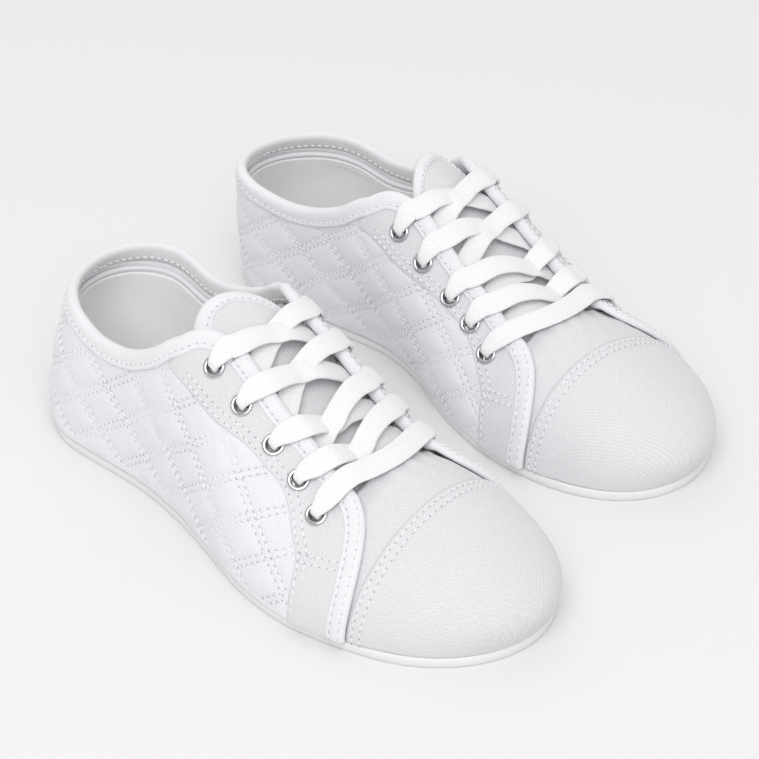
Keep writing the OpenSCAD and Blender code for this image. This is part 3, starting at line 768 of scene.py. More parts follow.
QUILT_RISE_A = math.radians(35)
QUILT_RISE_B = math.radians(38)
QUILT_START_A = 22.4
QUILT_START_B = 25.0
QUILT_STEP_B = 30.0
QUARTER_OFF = 1.1


def quilt_distance(u, v):
    """Distance to the nearest quilting seam of each family, mm."""
    u = np.abs(u)
    gaps = []
    for rise, start, step, sign in ((QUILT_RISE_A, QUILT_START_A, sizes().quilt_step, -1),
                                    (QUILT_RISE_B, QUILT_START_B, QUILT_STEP_B, 1)):
        across = u * math.sin(rise) + sign * v * math.cos(rise) - start * math.sin(rise)
        wide = step * math.sin(rise)
        gaps.append(np.abs((across + wide / 2) % wide - wide / 2))
    return gaps


def quilt_height(u, v):
    """Relief of the quilting: pillows between the seams and a pinched channel at each row."""
    half_twin = sizes().twin_gap / 2
    pillow, pinch = 1.0, 0.0
    for gap in quilt_distance(u, v):
        pillow = pillow * (1 - np.exp(-(np.maximum(0, gap - half_twin) / 2.6)**2))
        pinch = pinch + np.exp(-((gap - half_twin) / .55)**2)
    return sizes().quilt_puff * (pillow - .15) - .32 * np.minimum(pinch, 1.3)


def quarter_net(sd):
    """Grid of a quarter: columns from the sole to the collar, then to the eyestay seam."""
    collar = collar_inner(sd, sizes().tape_width - .8)
    collar[0, 0] = sd * .12
    seam = seam_line(sd, .5)
    top = paced(np.concatenate([collar, seam]), .75)
    front = np.abs(top[:, 0]) > RIM_ANGLES[-1] + 2
    count = int(front.sum())
    foot = top[:, 0].copy()
    share = (np.arange(count) / (count - 1))**.85
    foot[front] = sd * mix(RIM_ANGLES[-1] + 3, 115.9, share)
    v = np.linspace(0, 1, 72)
    p = mix(foot[:, None], top[:, :1], v[None, :])
    q = mix(.004, top[:, 1:], v[None, :])
    return p, q


def quarter_relief(sd, p, q):
    """Offset of the quarter's outer face, with the quilting fading out at its edges."""
    uv = side_map(p, q)
    up = np.linspace(0, 1, p.shape[1])[None, :]
    edge = np.minimum(up * 60, (1 - up) * 60)
    fade = smooth(.5, 4, edge)
    sway = ripple(uv[..., 0], uv[..., 1], 34, 11 if sd > 0 else 12) * .25
    return QUARTER_OFF + fade * (quilt_height(uv[..., 0], uv[..., 1]) + sway)


def inside_quarter(sd):
    """Limit of the quarter: highest share allowed at each angle."""
    collar = collar_inner(sd, sizes().tape_width + .6)
    seam = seam_line(sd, -1.0)
    line = np.concatenate([collar, seam])
    order = np.argsort(np.abs(line[:, 0]))
    return np.abs(line[order, 0]), line[order, 1]


def quilt_rows(sewing, sd):
    """Both families of twin rows, cut off at the quarter's edges."""
    angles, limit = inside_quarter(sd)
    half_twin = sizes().twin_gap / 2
    for rise, start, step, sign in ((QUILT_RISE_A, QUILT_START_A, sizes().quilt_step, 1),
                                    (QUILT_RISE_B, QUILT_START_B, QUILT_STEP_B, -1)):
        for k in range(-3, 12):
            for twin in (-half_twin, half_twin):
                foot = start + k * step + twin / math.sin(rise)
                run = np.arange(0, 130, sizes().stitch_pitch / 2)
                u = foot + sign * run * math.cos(rise)
                v = run * math.sin(rise)
                keep = (u > 1) & (u < 197)
                if keep.sum() < 4:
                    continue
                p, q = side_point(sd * u[keep], v[keep])
                keep = (q > .012) & (q < np.interp(np.abs(p), angles, limit)) & (np.abs(p) < 115.5)
                if keep.sum() < 3:
                    continue
                p, q = p[keep], q[keep]
                uv = side_map(p, q)
                off = QUARTER_OFF + quilt_height(uv[:, 0], uv[:, 1]) + .12
                sewing.run(lifted(p, q, off), normal(p, q))


# ---------------------------------------------------------------- operators


class SHOES_OT_stage(bpy.types.Operator):
    """Pale floor, soft lights and the camera"""

    bl_idname = "shoes.stage"
    bl_label = "Studio"

    def execute(self, context):
        studio = context.scene.shoe_studio
        bm = bmesh.new()
        bmesh.ops.create_grid(bm, x_segments=1, y_segments=1, size=6)
        mesh = bpy.data.meshes.new("floor")
        bm.to_mesh(mesh)
        bm.free()
        floor = bpy.data.objects.new("floor", mesh)
        context.scene.collection.objects.link(floor)
        # Painted board, rolled on in flat coats.
        # To the eye: an even pale grey with no shine and no grain.
        material, _, shader = new_material("painted studio floor")
        shader.inputs["Base Color"].default_value = studio.floor
        shader.inputs["Roughness"].default_value = .9
        mesh.materials.append(material)

        world = bpy.data.worlds.new("studio")
        world.use_nodes = True
        world.node_tree.nodes["Background"].inputs[0].default_value = (1, 1, 1, 1)
        world.node_tree.nodes["Background"].inputs[1].default_value = studio.sky
        context.scene.world = world
        self.area("key", studio.key_power, (-1.5, -1.2, 2.3), 2.4)
        self.area("fill", studio.fill_power, (.8, 1.5, 2.2), 3.0)

        low, high = CAD_BOX
        aim = Vector(((low[0] + high[0]) / 2 + .0068, (low[1] + high[1]) / 2 + .00485, .020))
        camera = bpy.data.objects.new("camera", bpy.data.cameras.new("camera"))
        context.scene.collection.objects.link(camera)
        back = Vector((math.sin(studio.azimuth) * math.cos(studio.elevation),
                       -math.cos(studio.azimuth) * math.cos(studio.elevation), math.sin(studio.elevation)))
        camera.location = aim + back * studio.distance
        camera.rotation_euler = back.to_track_quat("Z", "Y").to_euler()
        camera.data.lens = studio.lens
        context.scene.camera = camera
        context.scene.view_settings.view_transform = "Standard"
        return {"FINISHED"}

    def area(self, name, power, place, size):
        light = bpy.data.objects.new(name, bpy.data.lights.new(name, "AREA"))
        light.data.energy = power
        light.data.size = size
        light.location = place
        light.rotation_euler = Vector(place).to_track_quat("Z", "Y").to_euler()
        bpy.context.scene.collection.objects.link(light)


def outline(grow, count=180):
    """Outline of the sole grown outwards, mm."""
    p = np.linspace(-180, 180, count, endpoint=False)
    foot = surface(p, np.zeros_like(p))
    way = surface(p + 1, np.zeros_like(p)) - surface(p - 1, np.zeros_like(p))
    out = unit(np.stack([way[:, 1], -way[:, 0]], -1))
    return foot[:, :2] + out * grow


GROOVE_FIRST, GROOVE_STEP, GROOVE_WIDE, GROOVE_DEEP = 18, 7, 2.2, .9  # cross grooves under the sole, mm


class SHOES_OT_sole(bpy.types.Operator):
    """Moulded rubber sole with a rounded edge and cross grooves"""

    bl_idname = "shoes.sole"
    bl_label = "Sole"

    def execute(self, context):
        bm = bmesh.new()
        ring = bmesh.ops.create_circle(bm, segments=180, radius=1, cap_ends=True)["verts"]
        for vert, place in zip(ring, outline(-.7)):
            vert.co = (place[0], place[1], 0)
        bm.faces.ensure_lookup_table()
        tread = bm.faces[0]
        bmesh.ops.inset_region(bm, faces=[tread], thickness=7.0, depth=0)
        rim = [e for e in bm.edges if e.is_boundary]
        for grow, z in ((0.0, .35), (.3, 1.1), (.5, 2.2), (.5, 3.4), (.35, 4.0), (0.0, SOLE_TOP - .05)):
            made = bmesh.ops.extrude_edge_only(bm, edges=rim)["geom"]
            verts = [g for g in made if isinstance(g, bmesh.types.BMVert)]
            rim = [g for g in made if isinstance(g, bmesh.types.BMEdge) and g.is_boundary]
            flat = outline(grow, 1440)
            for vert in verts:
                near = np.argmin(((flat - np.array(vert.co[:2]))**2).sum(-1))
                vert.co = (flat[near][0], flat[near][1], z)
        bmesh.ops.holes_fill(bm, edges=rim, sides=0)
        for face in bm.faces:
            face.tag = face == tread
        for low in np.arange(GROOVE_FIRST, SOLE_LEN - 13, GROOVE_STEP):
            for s in (low, low + GROOVE_WIDE):
                faces = [f for f in bm.faces if f.tag]
                edges = list({e for f in faces for e in f.edges})
                cut_in = faces + edges + list({v for f in faces for v in f.verts})
                cut = bmesh.ops.bisect_plane(bm, geom=cut_in, plane_co=(0, s, 0), plane_no=(0, 1, 0), dist=1e-5)
                for piece in cut["geom"]:
                    if isinstance(piece, bmesh.types.BMFace):
                        piece.tag = True
        strips = [f for f in bm.faces if f.tag and f.calc_center_median().y > GROOVE_FIRST and
                  (f.calc_center_median().y - GROOVE_FIRST) % GROOVE_STEP < GROOVE_WIDE]
        raised = bmesh.ops.extrude_discrete_faces(bm, faces=strips)["faces"]
        bmesh.ops.translate(bm, verts=list({v for f in raised for v in f.verts}), vec=(0, 0, GROOVE_DEEP))
        bmesh.ops.recalc_face_normals(bm, faces=bm.faces)
        mesh = bpy.data.meshes.new("sole")
        bm.to_mesh(mesh)
        bm.free()
        for obj in add_piece("sole_rubber", mesh, "shoe", ["outsole"], [finish("rubber")]):
            obj.data.set_sharp_from_angle(angle=math.radians(35))
        return {"FINISHED"}


FOOTBED_INSET, FOOTBED_TOP = 5.4, 4.55                             # in from the sole's outline, above the sole, mm


class SHOES_OT_footbed(bpy.types.Operator):
    """Cupped footbed in brushed textile"""

    bl_idname = "shoes.footbed"
    bl_label = "Footbed"

    def execute(self, context):
        edge = outline(-FOOTBED_INSET, 720)
        inner, outer = edge[:360], edge[360:]
        row = -np.cos(np.linspace(.03, np.pi - .03, 70))
        s = mix(edge[:, 1].min(), edge[:, 1].max(), (row + 1) / 2)
        ordered = [half[np.argsort(half[:, 1])] for half in (inner, outer)]
        sides = [np.interp(s, half[:, 1], half[:, 0]) for half in ordered]
        column = -np.cos(np.linspace(0, np.pi, 40))
        x = mix(sides[0][:, None], sides[1][:, None], (column[None, :] + 1) / 2)
        share = np.maximum(np.abs(column)[None, :], np.abs(row)[:, None]**3)
        rise = .5 * share**4 - 1.4 * np.maximum(0, (share - .9) / .1)**2
        flat = np.stack(np.broadcast_arrays(x, s[:, None]), -1)
        points = np.concatenate([flat, (SOLE_TOP + FOOTBED_TOP + rise)[..., None]], -1)
        mesh = cloth(points, flat.copy())
        if mesh.polygons[0].normal.z < 0:
            mesh.flip_normals()
        add_piece("footbed_textile", mesh, "shoe", ["footbed"], [finish("footbed")], 1.8)
        return {"FINISHED"}


class SHOES_OT_quarters(bpy.types.Operator):
    """Quilted side panels"""

    bl_idname = "shoes.quarters"
    bl_label = "Quilted quarters"

    def execute(self, context):
        for sd, name in ((1, "lateral"), (-1, "medial")):
            p, q = quarter_net(sd)
            mesh = sheet_on(p, q, quarter_relief(sd, p, q), side_map(p, q))
            add_piece(f"{name}_quarter_quilted", mesh, "shoe", [f"{name}_quarter"],
                      [finish("quilted")], .9)
        return {"FINISHED"}


def stay_lift(p):
    """Extra height where the eyestay's front lies over the vamp."""
    return .45 * smooth(115.3, 118, np.abs(p))


STAY_OFF = 1.75


class SHOES_OT_eyestays(bpy.types.Operator):
    """Plain canvas facings with the lace holes punched through"""

    bl_idname = "shoes.eyestays"
    bl_label = "Eyestays"

    def execute(self, context):
        for sd, name, holes in ((1, "lateral", EYELETS_OUT), (-1, "medial", EYELETS_IN)):
            top = paced(throat_line(sd, sizes().tape_width - .8), .7)
            foot = np.array(SOLE_FRONT) * [sd, 1]
            low = finely(np.concatenate([seam_line(sd, -.5, 6), foot]), 4)
            # the upper rear corner runs on under the collar binding
            top = np.concatenate([top[:1] - [sd * 1.2, 0], top])
            low = np.concatenate([low[:1] - [sd * 1.2, 0], low])
            low = paced(low, .7)
            pick = np.linspace(0, len(low) - 1, len(top))
            low = np.stack([np.interp(pick, np.arange(len(low)), low[:, k]) for k in (0, 1)], -1)
            v = np.linspace(0, 1, 48)
            p = mix(low[:, :1], top[:, :1], v[None, :])
            q = mix(low[:, 1:], top[:, 1:], v[None, :])
            uv = side_map(p, q)
            off = STAY_OFF + stay_lift(p) + .12 * ripple(uv[..., 0], uv[..., 1], 22, 5)
            points = surface(p, q)
            middle = (points[:-1, :-1] + points[1:, 1:]) / 2
            drop = np.zeros(middle.shape[:2], bool)
            for hole in holes:
                gap = np.linalg.norm(middle - surface(*hole), axis=-1)
                drop |= gap < sizes().eyelet_hole / 2 + .7
            mesh = sheet_on(p, q, off, uv, drop)
            add_piece(f"{name}_eyestay_canvas", mesh, "shoe", [f"{name}_eyestay"],
                      [finish("canvas")], .9)
        return {"FINISHED"}


VAMP_REAR = 116.4                                                  # where the vamp ends, tucked under the lace


def cap_rear():
    """Rear edge of the toe cap."""
    q = np.linspace(.004, 1, 60)
    return np.stack([np.full_like(q, CAP_EDGE), q], -1)


class SHOES_OT_toe(bpy.types.Operator):
    """Toe cap and the vamp behind it"""

    bl_idname = "shoes.toe"
    bl_label = "Toe cap and vamp"

    def execute(self, context):
        q_side = np.linspace(.004, 1, 72)
        q = np.concatenate([q_side, q_side[-2::-1]])
        sign = np.concatenate([np.ones(72), -np.ones(71)])
        angle = mix(CAP_EDGE - .5, 180, np.linspace(0, 1, 80))
        p = angle[:, None] * sign[None, :]
        q = np.broadcast_to(q[None, :], p.shape)
        uv = top_map(p, q)
        rise = .55 * (1 - smooth(CAP_EDGE + 1, CAP_EDGE + 9, np.abs(p)))
        off = .1 + rise + .18 * ripple(uv[..., 0], uv[..., 1], 30, 21)
        mesh = cap_mesh(p, q, off, uv)
        add_piece("toe_cap_canvas", mesh, "shoe", ["toe_cap"], [finish("canvas")], 1.0)

        f = np.linspace(0, 1, 30)[:, None]
        p = mix(VAMP_REAR, CAP_EDGE + 1.5, f) * sign[None, :]
        q = np.broadcast_to(q[0][None, :], p.shape)
        uv = top_map(p, q)
        pucker = .3 * np.sin(uv[..., 0] * 2 * np.pi / 8.5 + 2 * np.sin(uv[..., 1] / 6)) * (1 - f)
        tucked = -1.5 * (1 - smooth(0, .33, f))
        off = -.2 + tucked + pucker * (1 - f) + .12 * ripple(uv[..., 0], uv[..., 1], 18, 31)
        mesh = cap_mesh(p, q, off, uv)
        add_piece("vamp_canvas", mesh, "shoe", ["vamp"], [finish("canvas")], .9)
        return {"FINISHED"}


def cap_mesh(p, q, off, uv):
    """A sheet over the toe from one side of the sole to the other, with its two ends joined in front."""
    out = normal(p, q)
    half = p.shape[1] // 2
    ridge = unit(out[:, half - 1] + out[:, half + 1])
    out = out.copy()
    out[:, half] = ridge
    if abs(p[-1, 0]) > 179.9:
        front = unit(out[-1] + out[-1, ::-1])
        out[-1] = front
        off = off.copy()
        off[-1] = (off[-1] + off[-1, ::-1]) / 2
    points = surface(p, q) + out * off[..., None]
    mesh = cloth(points, uv, wrap=True)
    middle = mesh.polygons[len(mesh.polygons) // 2]
    if middle.normal.z < 0:
        mesh.flip_normals()
    return mesh


def tape_section():
    """Section of a folded binding: distance in from the edge and height from the surface, mm."""
    w = sizes().tape_width
    return np.array([[w, 1.3], [w + .05, 2.0], [w - .35, 2.45], [w - 1.2, 2.45], [w - 1.9, 2.2], [w - 2.6, 2.5],
                     [w - 4, 2.75], [1.9, 2.75], [.9, 2.4], [.25, 1.7], [-.05, .8], [-.1, .1], [.1, -.6],
                     [.7, -1.3], [1.8, -1.7], [w - 3, -1.75], [w - .8, -1.7], [w, -1.45], [w, -.6]])


def tape_mesh(line, sd, seed, lift=True, step=1.1):
    """Binding swept along a line on the surface, slightly uneven, as folded tape is."""
    line = paced(line, step)
    section = tape_section()
    rings = []
    far = np.arange(len(line)) * step
    for w, o in section:
        inner = shifted(line, -sd * w)
        p, q = inner[:, 0], inner[:, 1]
        over = smooth(115.3, 118, np.abs(line[:, 0])) if lift else np.zeros(len(line))
        low, high = mix(-1.75, .05, over), mix(2.75, 3.0, over)
        off = low + (o + 1.75) / 4.5 * (high - low)
        off = off + .10 * ripple(far, w * 3.0 * np.ones_like(far), 9, seed) * (o > 0)
        rings.append(lifted(p, np.minimum(q, .999), off))
    across = np.concatenate([travelled(section), [30]])
    return swept(np.stack(rings, 1), across)


class SHOES_OT_bindings(bpy.types.Operator):
    """Folded binding round the collar and down both fronts"""

    bl_idname = "shoes.bindings"
    bl_label = "Bindings"

    def execute(self, context):
        mesh = tape_mesh(collar_edge(), 1, 41, lift=False)
        add_piece("collar_binding", mesh, "shoe", ["collar_tape"], [finish("tape")])
        for sd, name in ((1, "lateral"), (-1, "medial")):
            add_piece(f"{name}_front_binding", tape_mesh(front_edge(sd), sd, 43 + sd), "shoe",
                      [f"{name}_front_tape"], [finish("tape")])
        return {"FINISHED"}


def collar_edge():
    """Whole collar edge from the inner side of the throat, round the heel, to the outer side."""
    halves = []
    for sd in (-1, 1):
        collar, throat = rim_line(sd)
        line = np.concatenate([collar, finely(throat, 2)[:7]])
        halves.append(line)
    return finely(np.concatenate([halves[0][::-1], halves[1]]), 8)


def front_edge(sd):
    """Front edge from the throat down to the sole."""
    line = finely(np.array(THROAT) * [sd, 1], 12)
    return line[int(12 * 3.15):]


TONGUE_ANGLES = np.linspace(-114, 114, 77)
TONGUE_HALF, TONGUE_ROOT, TONGUE_END, TONGUE_SAG = 27, 122, 191, 3.5  # half width, shoulders, toe end, sag, mm


def tongue_outline(width, rise):
    """Round top of the tongue, leaning to the outer side, and its straight sides: x and s."""
    a = TONGUE_ANGLES
    x = np.where(np.abs(a) > 90, np.sign(a) * width, width * np.sin(np.radians(np.clip(a, -90, 90))))
    below = np.where(np.abs(a) > 90, np.abs(a) - 90, -rise * np.cos(np.radians(a)))
    s = TONGUE_ROOT - .55 * x - .006 * x * x + below
    return x, s


def tongue_height(x, s):
    """Height from the surface: sunk in the middle between the facings, up against the vamp in front."""
    sag = TONGUE_SAG * np.maximum(0, 1 - (x / 20)**2) * smooth(112, 124, s)
    return mix(-4.5 - sag, -2.3, smooth(183, 190, s))


class SHOES_OT_tongue(bpy.types.Operator):
    """Canvas tongue with its bound top"""

    bl_idname = "shoes.tongue"
    bl_label = "Tongue"

    def execute(self, context):
        top_x, top_s = tongue_outline(TONGUE_HALF - 5.5, TONGUE_HALF - 7.5)
        span = np.linspace(-21.5, 21.5, len(top_x))
        f = np.linspace(0, 1, 70)[None, :]
        x = mix(top_x[:, None], span[:, None], np.minimum(1, f * 2.6))
        s = mix(top_s[:, None], TONGUE_END, f)
        p, q = at_x_s(x, s)
        uv = np.stack([x, s], -1)
        off = tongue_height(x, s) + .25 * ripple(x, s, 26, 51)
        mesh = sheet_on(p, q, off, uv)
        add_piece("tongue_canvas", mesh, "tongue_flap", ["tongue"], [finish("tongue")], 1.5)

        rings = []
        section = [(6.3, -6.45), (3, -6.7), (.7, -6.45), (-.1, -5.5), (.6, -4.4), (2, -4.0), (4, -4.0), (5, -4.15),
                   (6, -4.0), (6.4, -4.5)]
        for inward, off in section:
            x, s = tongue_outline(TONGUE_HALF - inward, TONGUE_HALF - inward - 2)
            p, q = at_x_s(x, s)
            rings.append(lifted(p, q, np.full(p.shape, off)))
        across = np.linspace(0, 18, len(section) + 1)
        mesh = swept(np.stack(rings, 1), across)
        add_piece("tongue_binding", mesh, "tongue_flap", ["tongue_tape"], [finish("tape")])

        sewing = Sewing()
        x, s = tongue_outline(TONGUE_HALF - 5, TONGUE_HALF - 7)
        p, q = at_x_s(x, s)
        line = paced(np.stack([p, q], -1), sizes().stitch_pitch / 2)
        sewing.run(lifted(line[:, 0], line[:, 1], np.full(len(line), -4.05)), normal(line[:, 0], line[:, 1]))
        sewing.piece("tongue_stitches", "tongue_flap", "tape")
        return {"FINISHED"}


# section of the heel pocket's tape: distance down from its edge and height from the surface, mm
POCKET_TAPE = [(0, -1.2), (0, -2.5), (.7, -3.3), (1.5, -2.9), (2.4, -2.75), (4.2, -2.75), (5.1, -2.9),
               (5.9, -3.5), (6.6, -2.9), (6.6, -2.0)]


def pocket_top(drop):
    """Line inside the heel, one drop below the collar edge, mm."""
    halves = []
    for sd in (-1, 1):
        collar, _ = rim_line(sd)
        line = shifted(collar, -sd * drop)
        halves.append(line[:8])
    return finely(np.concatenate([halves[0][::-1], halves[1]]), 6)


class SHOES_OT_lining(bpy.types.Operator):
    """Inner lining and the heel pocket with its taped edge"""

    bl_idname = "shoes.lining"
    bl_label = "Lining"

    def execute(self, context):
        nets = []
        for sd in (-1, 1):
            p, q = quarter_net(sd)
            nets.append((p[::3, ::3], q[::3, ::3]) if sd > 0 else (p[::3, ::3][::-1], q[::3, ::3][::-1]))
        p = np.concatenate([n[0] for n in nets])
        q = np.concatenate([n[1] for n in nets])
        uv = side_map(p, q)
        mesh = sheet_on(p, q, -.2 - .1 * np.abs(ripple(uv[..., 0], uv[..., 1], 30, 61)), uv)
        add_piece("quarter_lining_cotton", mesh, "shoe", ["quarter_lining"], [finish("lining")], .8)

        top = paced(pocket_top(11.5), 1.6)
        v = np.linspace(0, 1, 40)
        p = np.broadcast_to(top[:, :1], (len(top), 40))
        q = mix(.02, top[:, 1:], v[None, :])
        uv = side_map(p, q)
        off = -2.75 + .25 * ripple(uv[..., 0], uv[..., 1], 25, 71)
        mesh = sheet_on(p, q, off, uv)
        add_piece("heel_pocket_lining", mesh, "shoe", ["heel_pocket"], [finish("lining")], .7)

        edge = paced(pocket_top(9.5), 1.5)
        rings = []
        for w, o in POCKET_TAPE:
            line = shifted(edge, -w)
            rings.append(lifted(line[:, 0], line[:, 1], np.full(len(line), o)))
        mesh = swept(np.stack(rings, 1), np.linspace(0, 16, 11))
        add_piece("heel_pocket_tape", mesh, "shoe", [], [finish("tape")])
        return {"FINISHED"}


def surface_frame(hole):
    """Matrix of the surface at an eyelet: x round the shoe, y up it, z out."""
    p, q = np.array(hole[0], float), np.array(hole[1], float)
    out = normal(p, q)
    way = unit(along_p(p, q))
    up = np.cross(out, way)
    base = Matrix(((*way, 0), (*up, 0), (*out, 0), (0, 0, 0, 1))).transposed()
    base.translation = Vector(surface(p, q))
    return base


class SHOES_OT_eyelets(bpy.types.Operator):
    """Turned nickel eyelets with a rolled flange"""

    bl_idname = "shoes.eyelets"
    bl_label = "Eyelets"

    def execute(self, context):
        hole, rim = sizes().eyelet_hole / 2, sizes().eyelet_width / 2
        profile = [(hole, -1.7), (hole, 1.9)]
        for k in range(0, 9):
            turn = math.pi * (1 - k / 8)
            profile.append(((hole + rim) / 2 + (rim - hole) / 2 * math.cos(turn), 2.0 + .62 * math.sin(turn)))
        profile += [(rim - .1, 1.75), (hole + .45, 1.7), (hole + .45, -1.4), (rim - .5, -1.4), (rim - .5, -1.75)]
        for name, holes in (("lateral", EYELETS_OUT), ("medial", EYELETS_IN)):
            joined = bmesh.new()
            bm = bmesh.new()
            verts = [bm.verts.new((r, 0, z)) for r, z in profile]
            edges = [bm.edges.new((verts[i], verts[(i + 1) % len(verts)])) for i in range(len(verts))]
            bmesh.ops.spin(bm, geom=verts + edges, cent=(0, 0, 0), axis=(0, 0, 1), angle=2 * math.pi,
                           steps=48, use_merge=True)
            bmesh.ops.remove_doubles(bm, verts=bm.verts, dist=1e-4)
            bmesh.ops.recalc_face_normals(bm, faces=bm.faces)
            ring = bpy.data.meshes.new("ring")
            bm.to_mesh(ring)
            bm.free()
            for hole_at in holes:
                one = ring.copy()
                one.transform(surface_frame(hole_at))
                joined.from_mesh(one)
                bpy.data.meshes.remove(one)
            bpy.data.meshes.remove(ring)
            mesh = bpy.data.meshes.new("eyelets")
            joined.to_mesh(mesh)
            joined.free()
            for obj in add_piece(f"{name}_eyelets_nickel", mesh, "shoe", [f"{name}_eyelets"],
                                 [finish("nickel")]):
                obj.data.set_sharp_from_angle(angle=math.radians(50))
        return {"FINISHED"}


# ---------------------------------------------------------------- lace

OVER, UNDER = 3.4, -2.8                                            # lace centre above and below the facing
# where the two strands of each pair cross: x, s
CROSSINGS = [[3, 120], [6, 135], [8, 154], [7, 167]]
# the bar across the outside of the fifth pair, bowed towards the toe: x, s, height, pinch
BAR = [[17.5, 173, 3.3, 0], [13, 174.6, 1.9, 0], [7, 176, .8, 0], [0, 176.6, .4, 0], [-7, 175.6, .8, 0],
       [-13, 173.6, 1.9, 0], [-17.5, 171.6, 3.3, 0]]


def eye(sd, i):
    place = surface(*(EYELETS_OUT if sd > 0 else EYELETS_IN)[i])
    return place[0], place[1]


def out_of(sd, i):
    """Up through a hole."""
    x, s = eye(sd, i)
    return [[x, s, UNDER, 1], [x, s, 0, 1], [x, s, 2.9, 1]]


def strand(sd, i, high):
    """Out of hole i, over the facing, through the crossing and under the far facing to hole i + 1."""
    (ax, sa), (bx, sb), (mx, sm) = eye(sd, i), eye(-sd, i + 1), CROSSINGS[i]
    near, far = sd * 17.5, -sd * 17.5
    near_s = mix(sa, sm, (ax - near) / (ax - mx))
    far_s = mix(sm, sb, (mx - far) / (mx - bx))
    return out_of(sd, i) + [
        [ax - sd * 2.6, mix(sa, near_s, .15), OVER + .55, .45],
        [ax - sd * 6, mix(sa, near_s, .45), OVER + .2, 0],
        [near, near_s, OVER, 0],
        [mix(near, mx, .4), mix(near_s, sm, .4), 1.1 if high else .4, .1],
        [mix(near, mx, .75), mix(near_s, sm, .75), -.8 if high else -2.6, .2],
        [mx, sm, -1.9 if high else -3.8, .1],
        [mix(mx, far, .3), mix(sm, far_s, .3), -2.0 if high else -4.0, .2],
        [mix(mx, far, .65), mix(sm, far_s, .65), -2.6 if high else -3.4, .1],
        [far, far_s, UNDER, 0],
        [bx + sd * 6, mix(far_s, sb, .6), UNDER, 0],
        [bx + sd * 2.6, mix(far_s, sb, .85), UNDER, .5]]


def toe_bar():
    """The bar outside the fifth pair of eyelets."""
    (ax, sa), (bx, sb) = eye(1, 4), eye(-1, 4)
    return (out_of(1, 4) + [[ax - 2.6, sa + .4, OVER + .5, .45]] + BAR
            + [[bx + 2.6, sb + .9, OVER + .5, .45]] + out_of(-1, 4)[::-1])


def lace_route():
    """The whole route: x, s, height off the surface and how far the lace is pinched."""
    first = strand(1, 0, True) + strand(-1, 1, False) + strand(1, 2, False) + strand(-1, 3, True)
    second = (strand(1, 3, False)[::-1] + strand(-1, 2, True)[::-1] + strand(1, 1, True)[::-1]
              + strand(-1, 0, False)[::-1])
    return np.array(first + toe_bar() + second)


def tail(sd, k):
    """Point k of a tail tucked down inside the quarter."""
    p, q = (EYELETS_OUT if sd > 0 else EYELETS_IN)[0]
    p, q = p - sd * .24 * k, q - .022 - .036 * k
    return lifted(np.array(p), np.array(q), np.array(-2.9 - .4 * k)), along_p(np.array(p), np.array(q))


def drawn(points, step):
    """A smooth curve through unevenly spaced points, sampled at even steps along it, mm."""
    gap = np.linalg.norm(np.diff(points[:, :3], axis=0), axis=1)
    far = np.concatenate([[0], np.cumsum(gap)])
    slope = np.diff(points, axis=0) / gap[:, None]
    inner = (slope[:-1] * gap[1:, None] + slope[1:] * gap[:-1, None]) / (gap[:-1] + gap[1:])[:, None]
    tangent = np.concatenate([slope[:1], inner, slope[-1:]])
    at = np.arange(0, far[-1], step)
    k = np.clip(np.searchsorted(far, at, side="right") - 1, 0, len(gap) - 1)
    w = gap[k][:, None]
    f = (at[:, None] - far[k][:, None]) / w
    return ((2 * f**3 - 3 * f**2 + 1) * points[k] + (3 * f**2 - 2 * f**3) * points[k + 1]
            + (f**3 - 2 * f**2 + f) * w * tangent[k] + (f**3 - f**2) * w * tangent[k + 1])


class SHOES_OT_lace(bpy.types.Operator):
    """Flat knitted lace along its whole route"""

    bl_idname = "shoes.lace"
    bl_label = "Lace"

    def execute(self, context):
        route = lace_route()
        p, q = at_x_s(route[:, 0], route[:, 1])
        centre = lifted(p, q, route[:, 2])
        side = unit(along_p(p, q)) * np.where(route[:, 0] < 0, -1, 1)[:, None]
        start = [tail(1, k) for k in range(6, 0, -1)]
        end = [tail(-1, k) for k in range(1, 7)]
        centre = np.concatenate([[t[0] for t in start], centre, [t[0] for t in end]])
        side = np.concatenate([[unit(t[1]) for t in start], side, [-unit(t[1]) for t in end]])
        pinch = np.concatenate([[0] * 5 + [.6], route[:, 3], [.6] + [0] * 5])
        whole = drawn(np.concatenate([centre, side, pinch[:, None]], 1), .8)
        centre, side, pinch = whole[:, :3], whole[:, 3:6], np.clip(whole[:, 6:], 0, 1)
        way = unit(np.gradient(centre, axis=0))
        side = unit(side - way * (side * way).sum(-1, keepdims=True))
        up = np.cross(way, side)
        wide = mix(sizes().lace_width, 4.2, pinch) / 2
        thick = mix(sizes().lace_thickness, 2.6, pinch) / 2
        turn = np.linspace(0, 2 * np.pi, 20, endpoint=False)
        rings = []
        for a in turn:
            x = np.sign(np.cos(a)) * abs(np.cos(a))**.75
            y = np.sign(np.sin(a)) * abs(np.sin(a))**.6 * (.82 + .18 * abs(x)**2)
            rings.append(centre + side * wide * x + up * thick * y)
        across = sizes().lace_width / 2 * (1 + np.cos(np.concatenate([turn, [2 * np.pi]])))
        mesh = swept(np.stack(rings, 1), across)
        add_piece("lace_knit", mesh, "shoe", ["lace"], [finish("lace")])
        return {"FINISHED"}


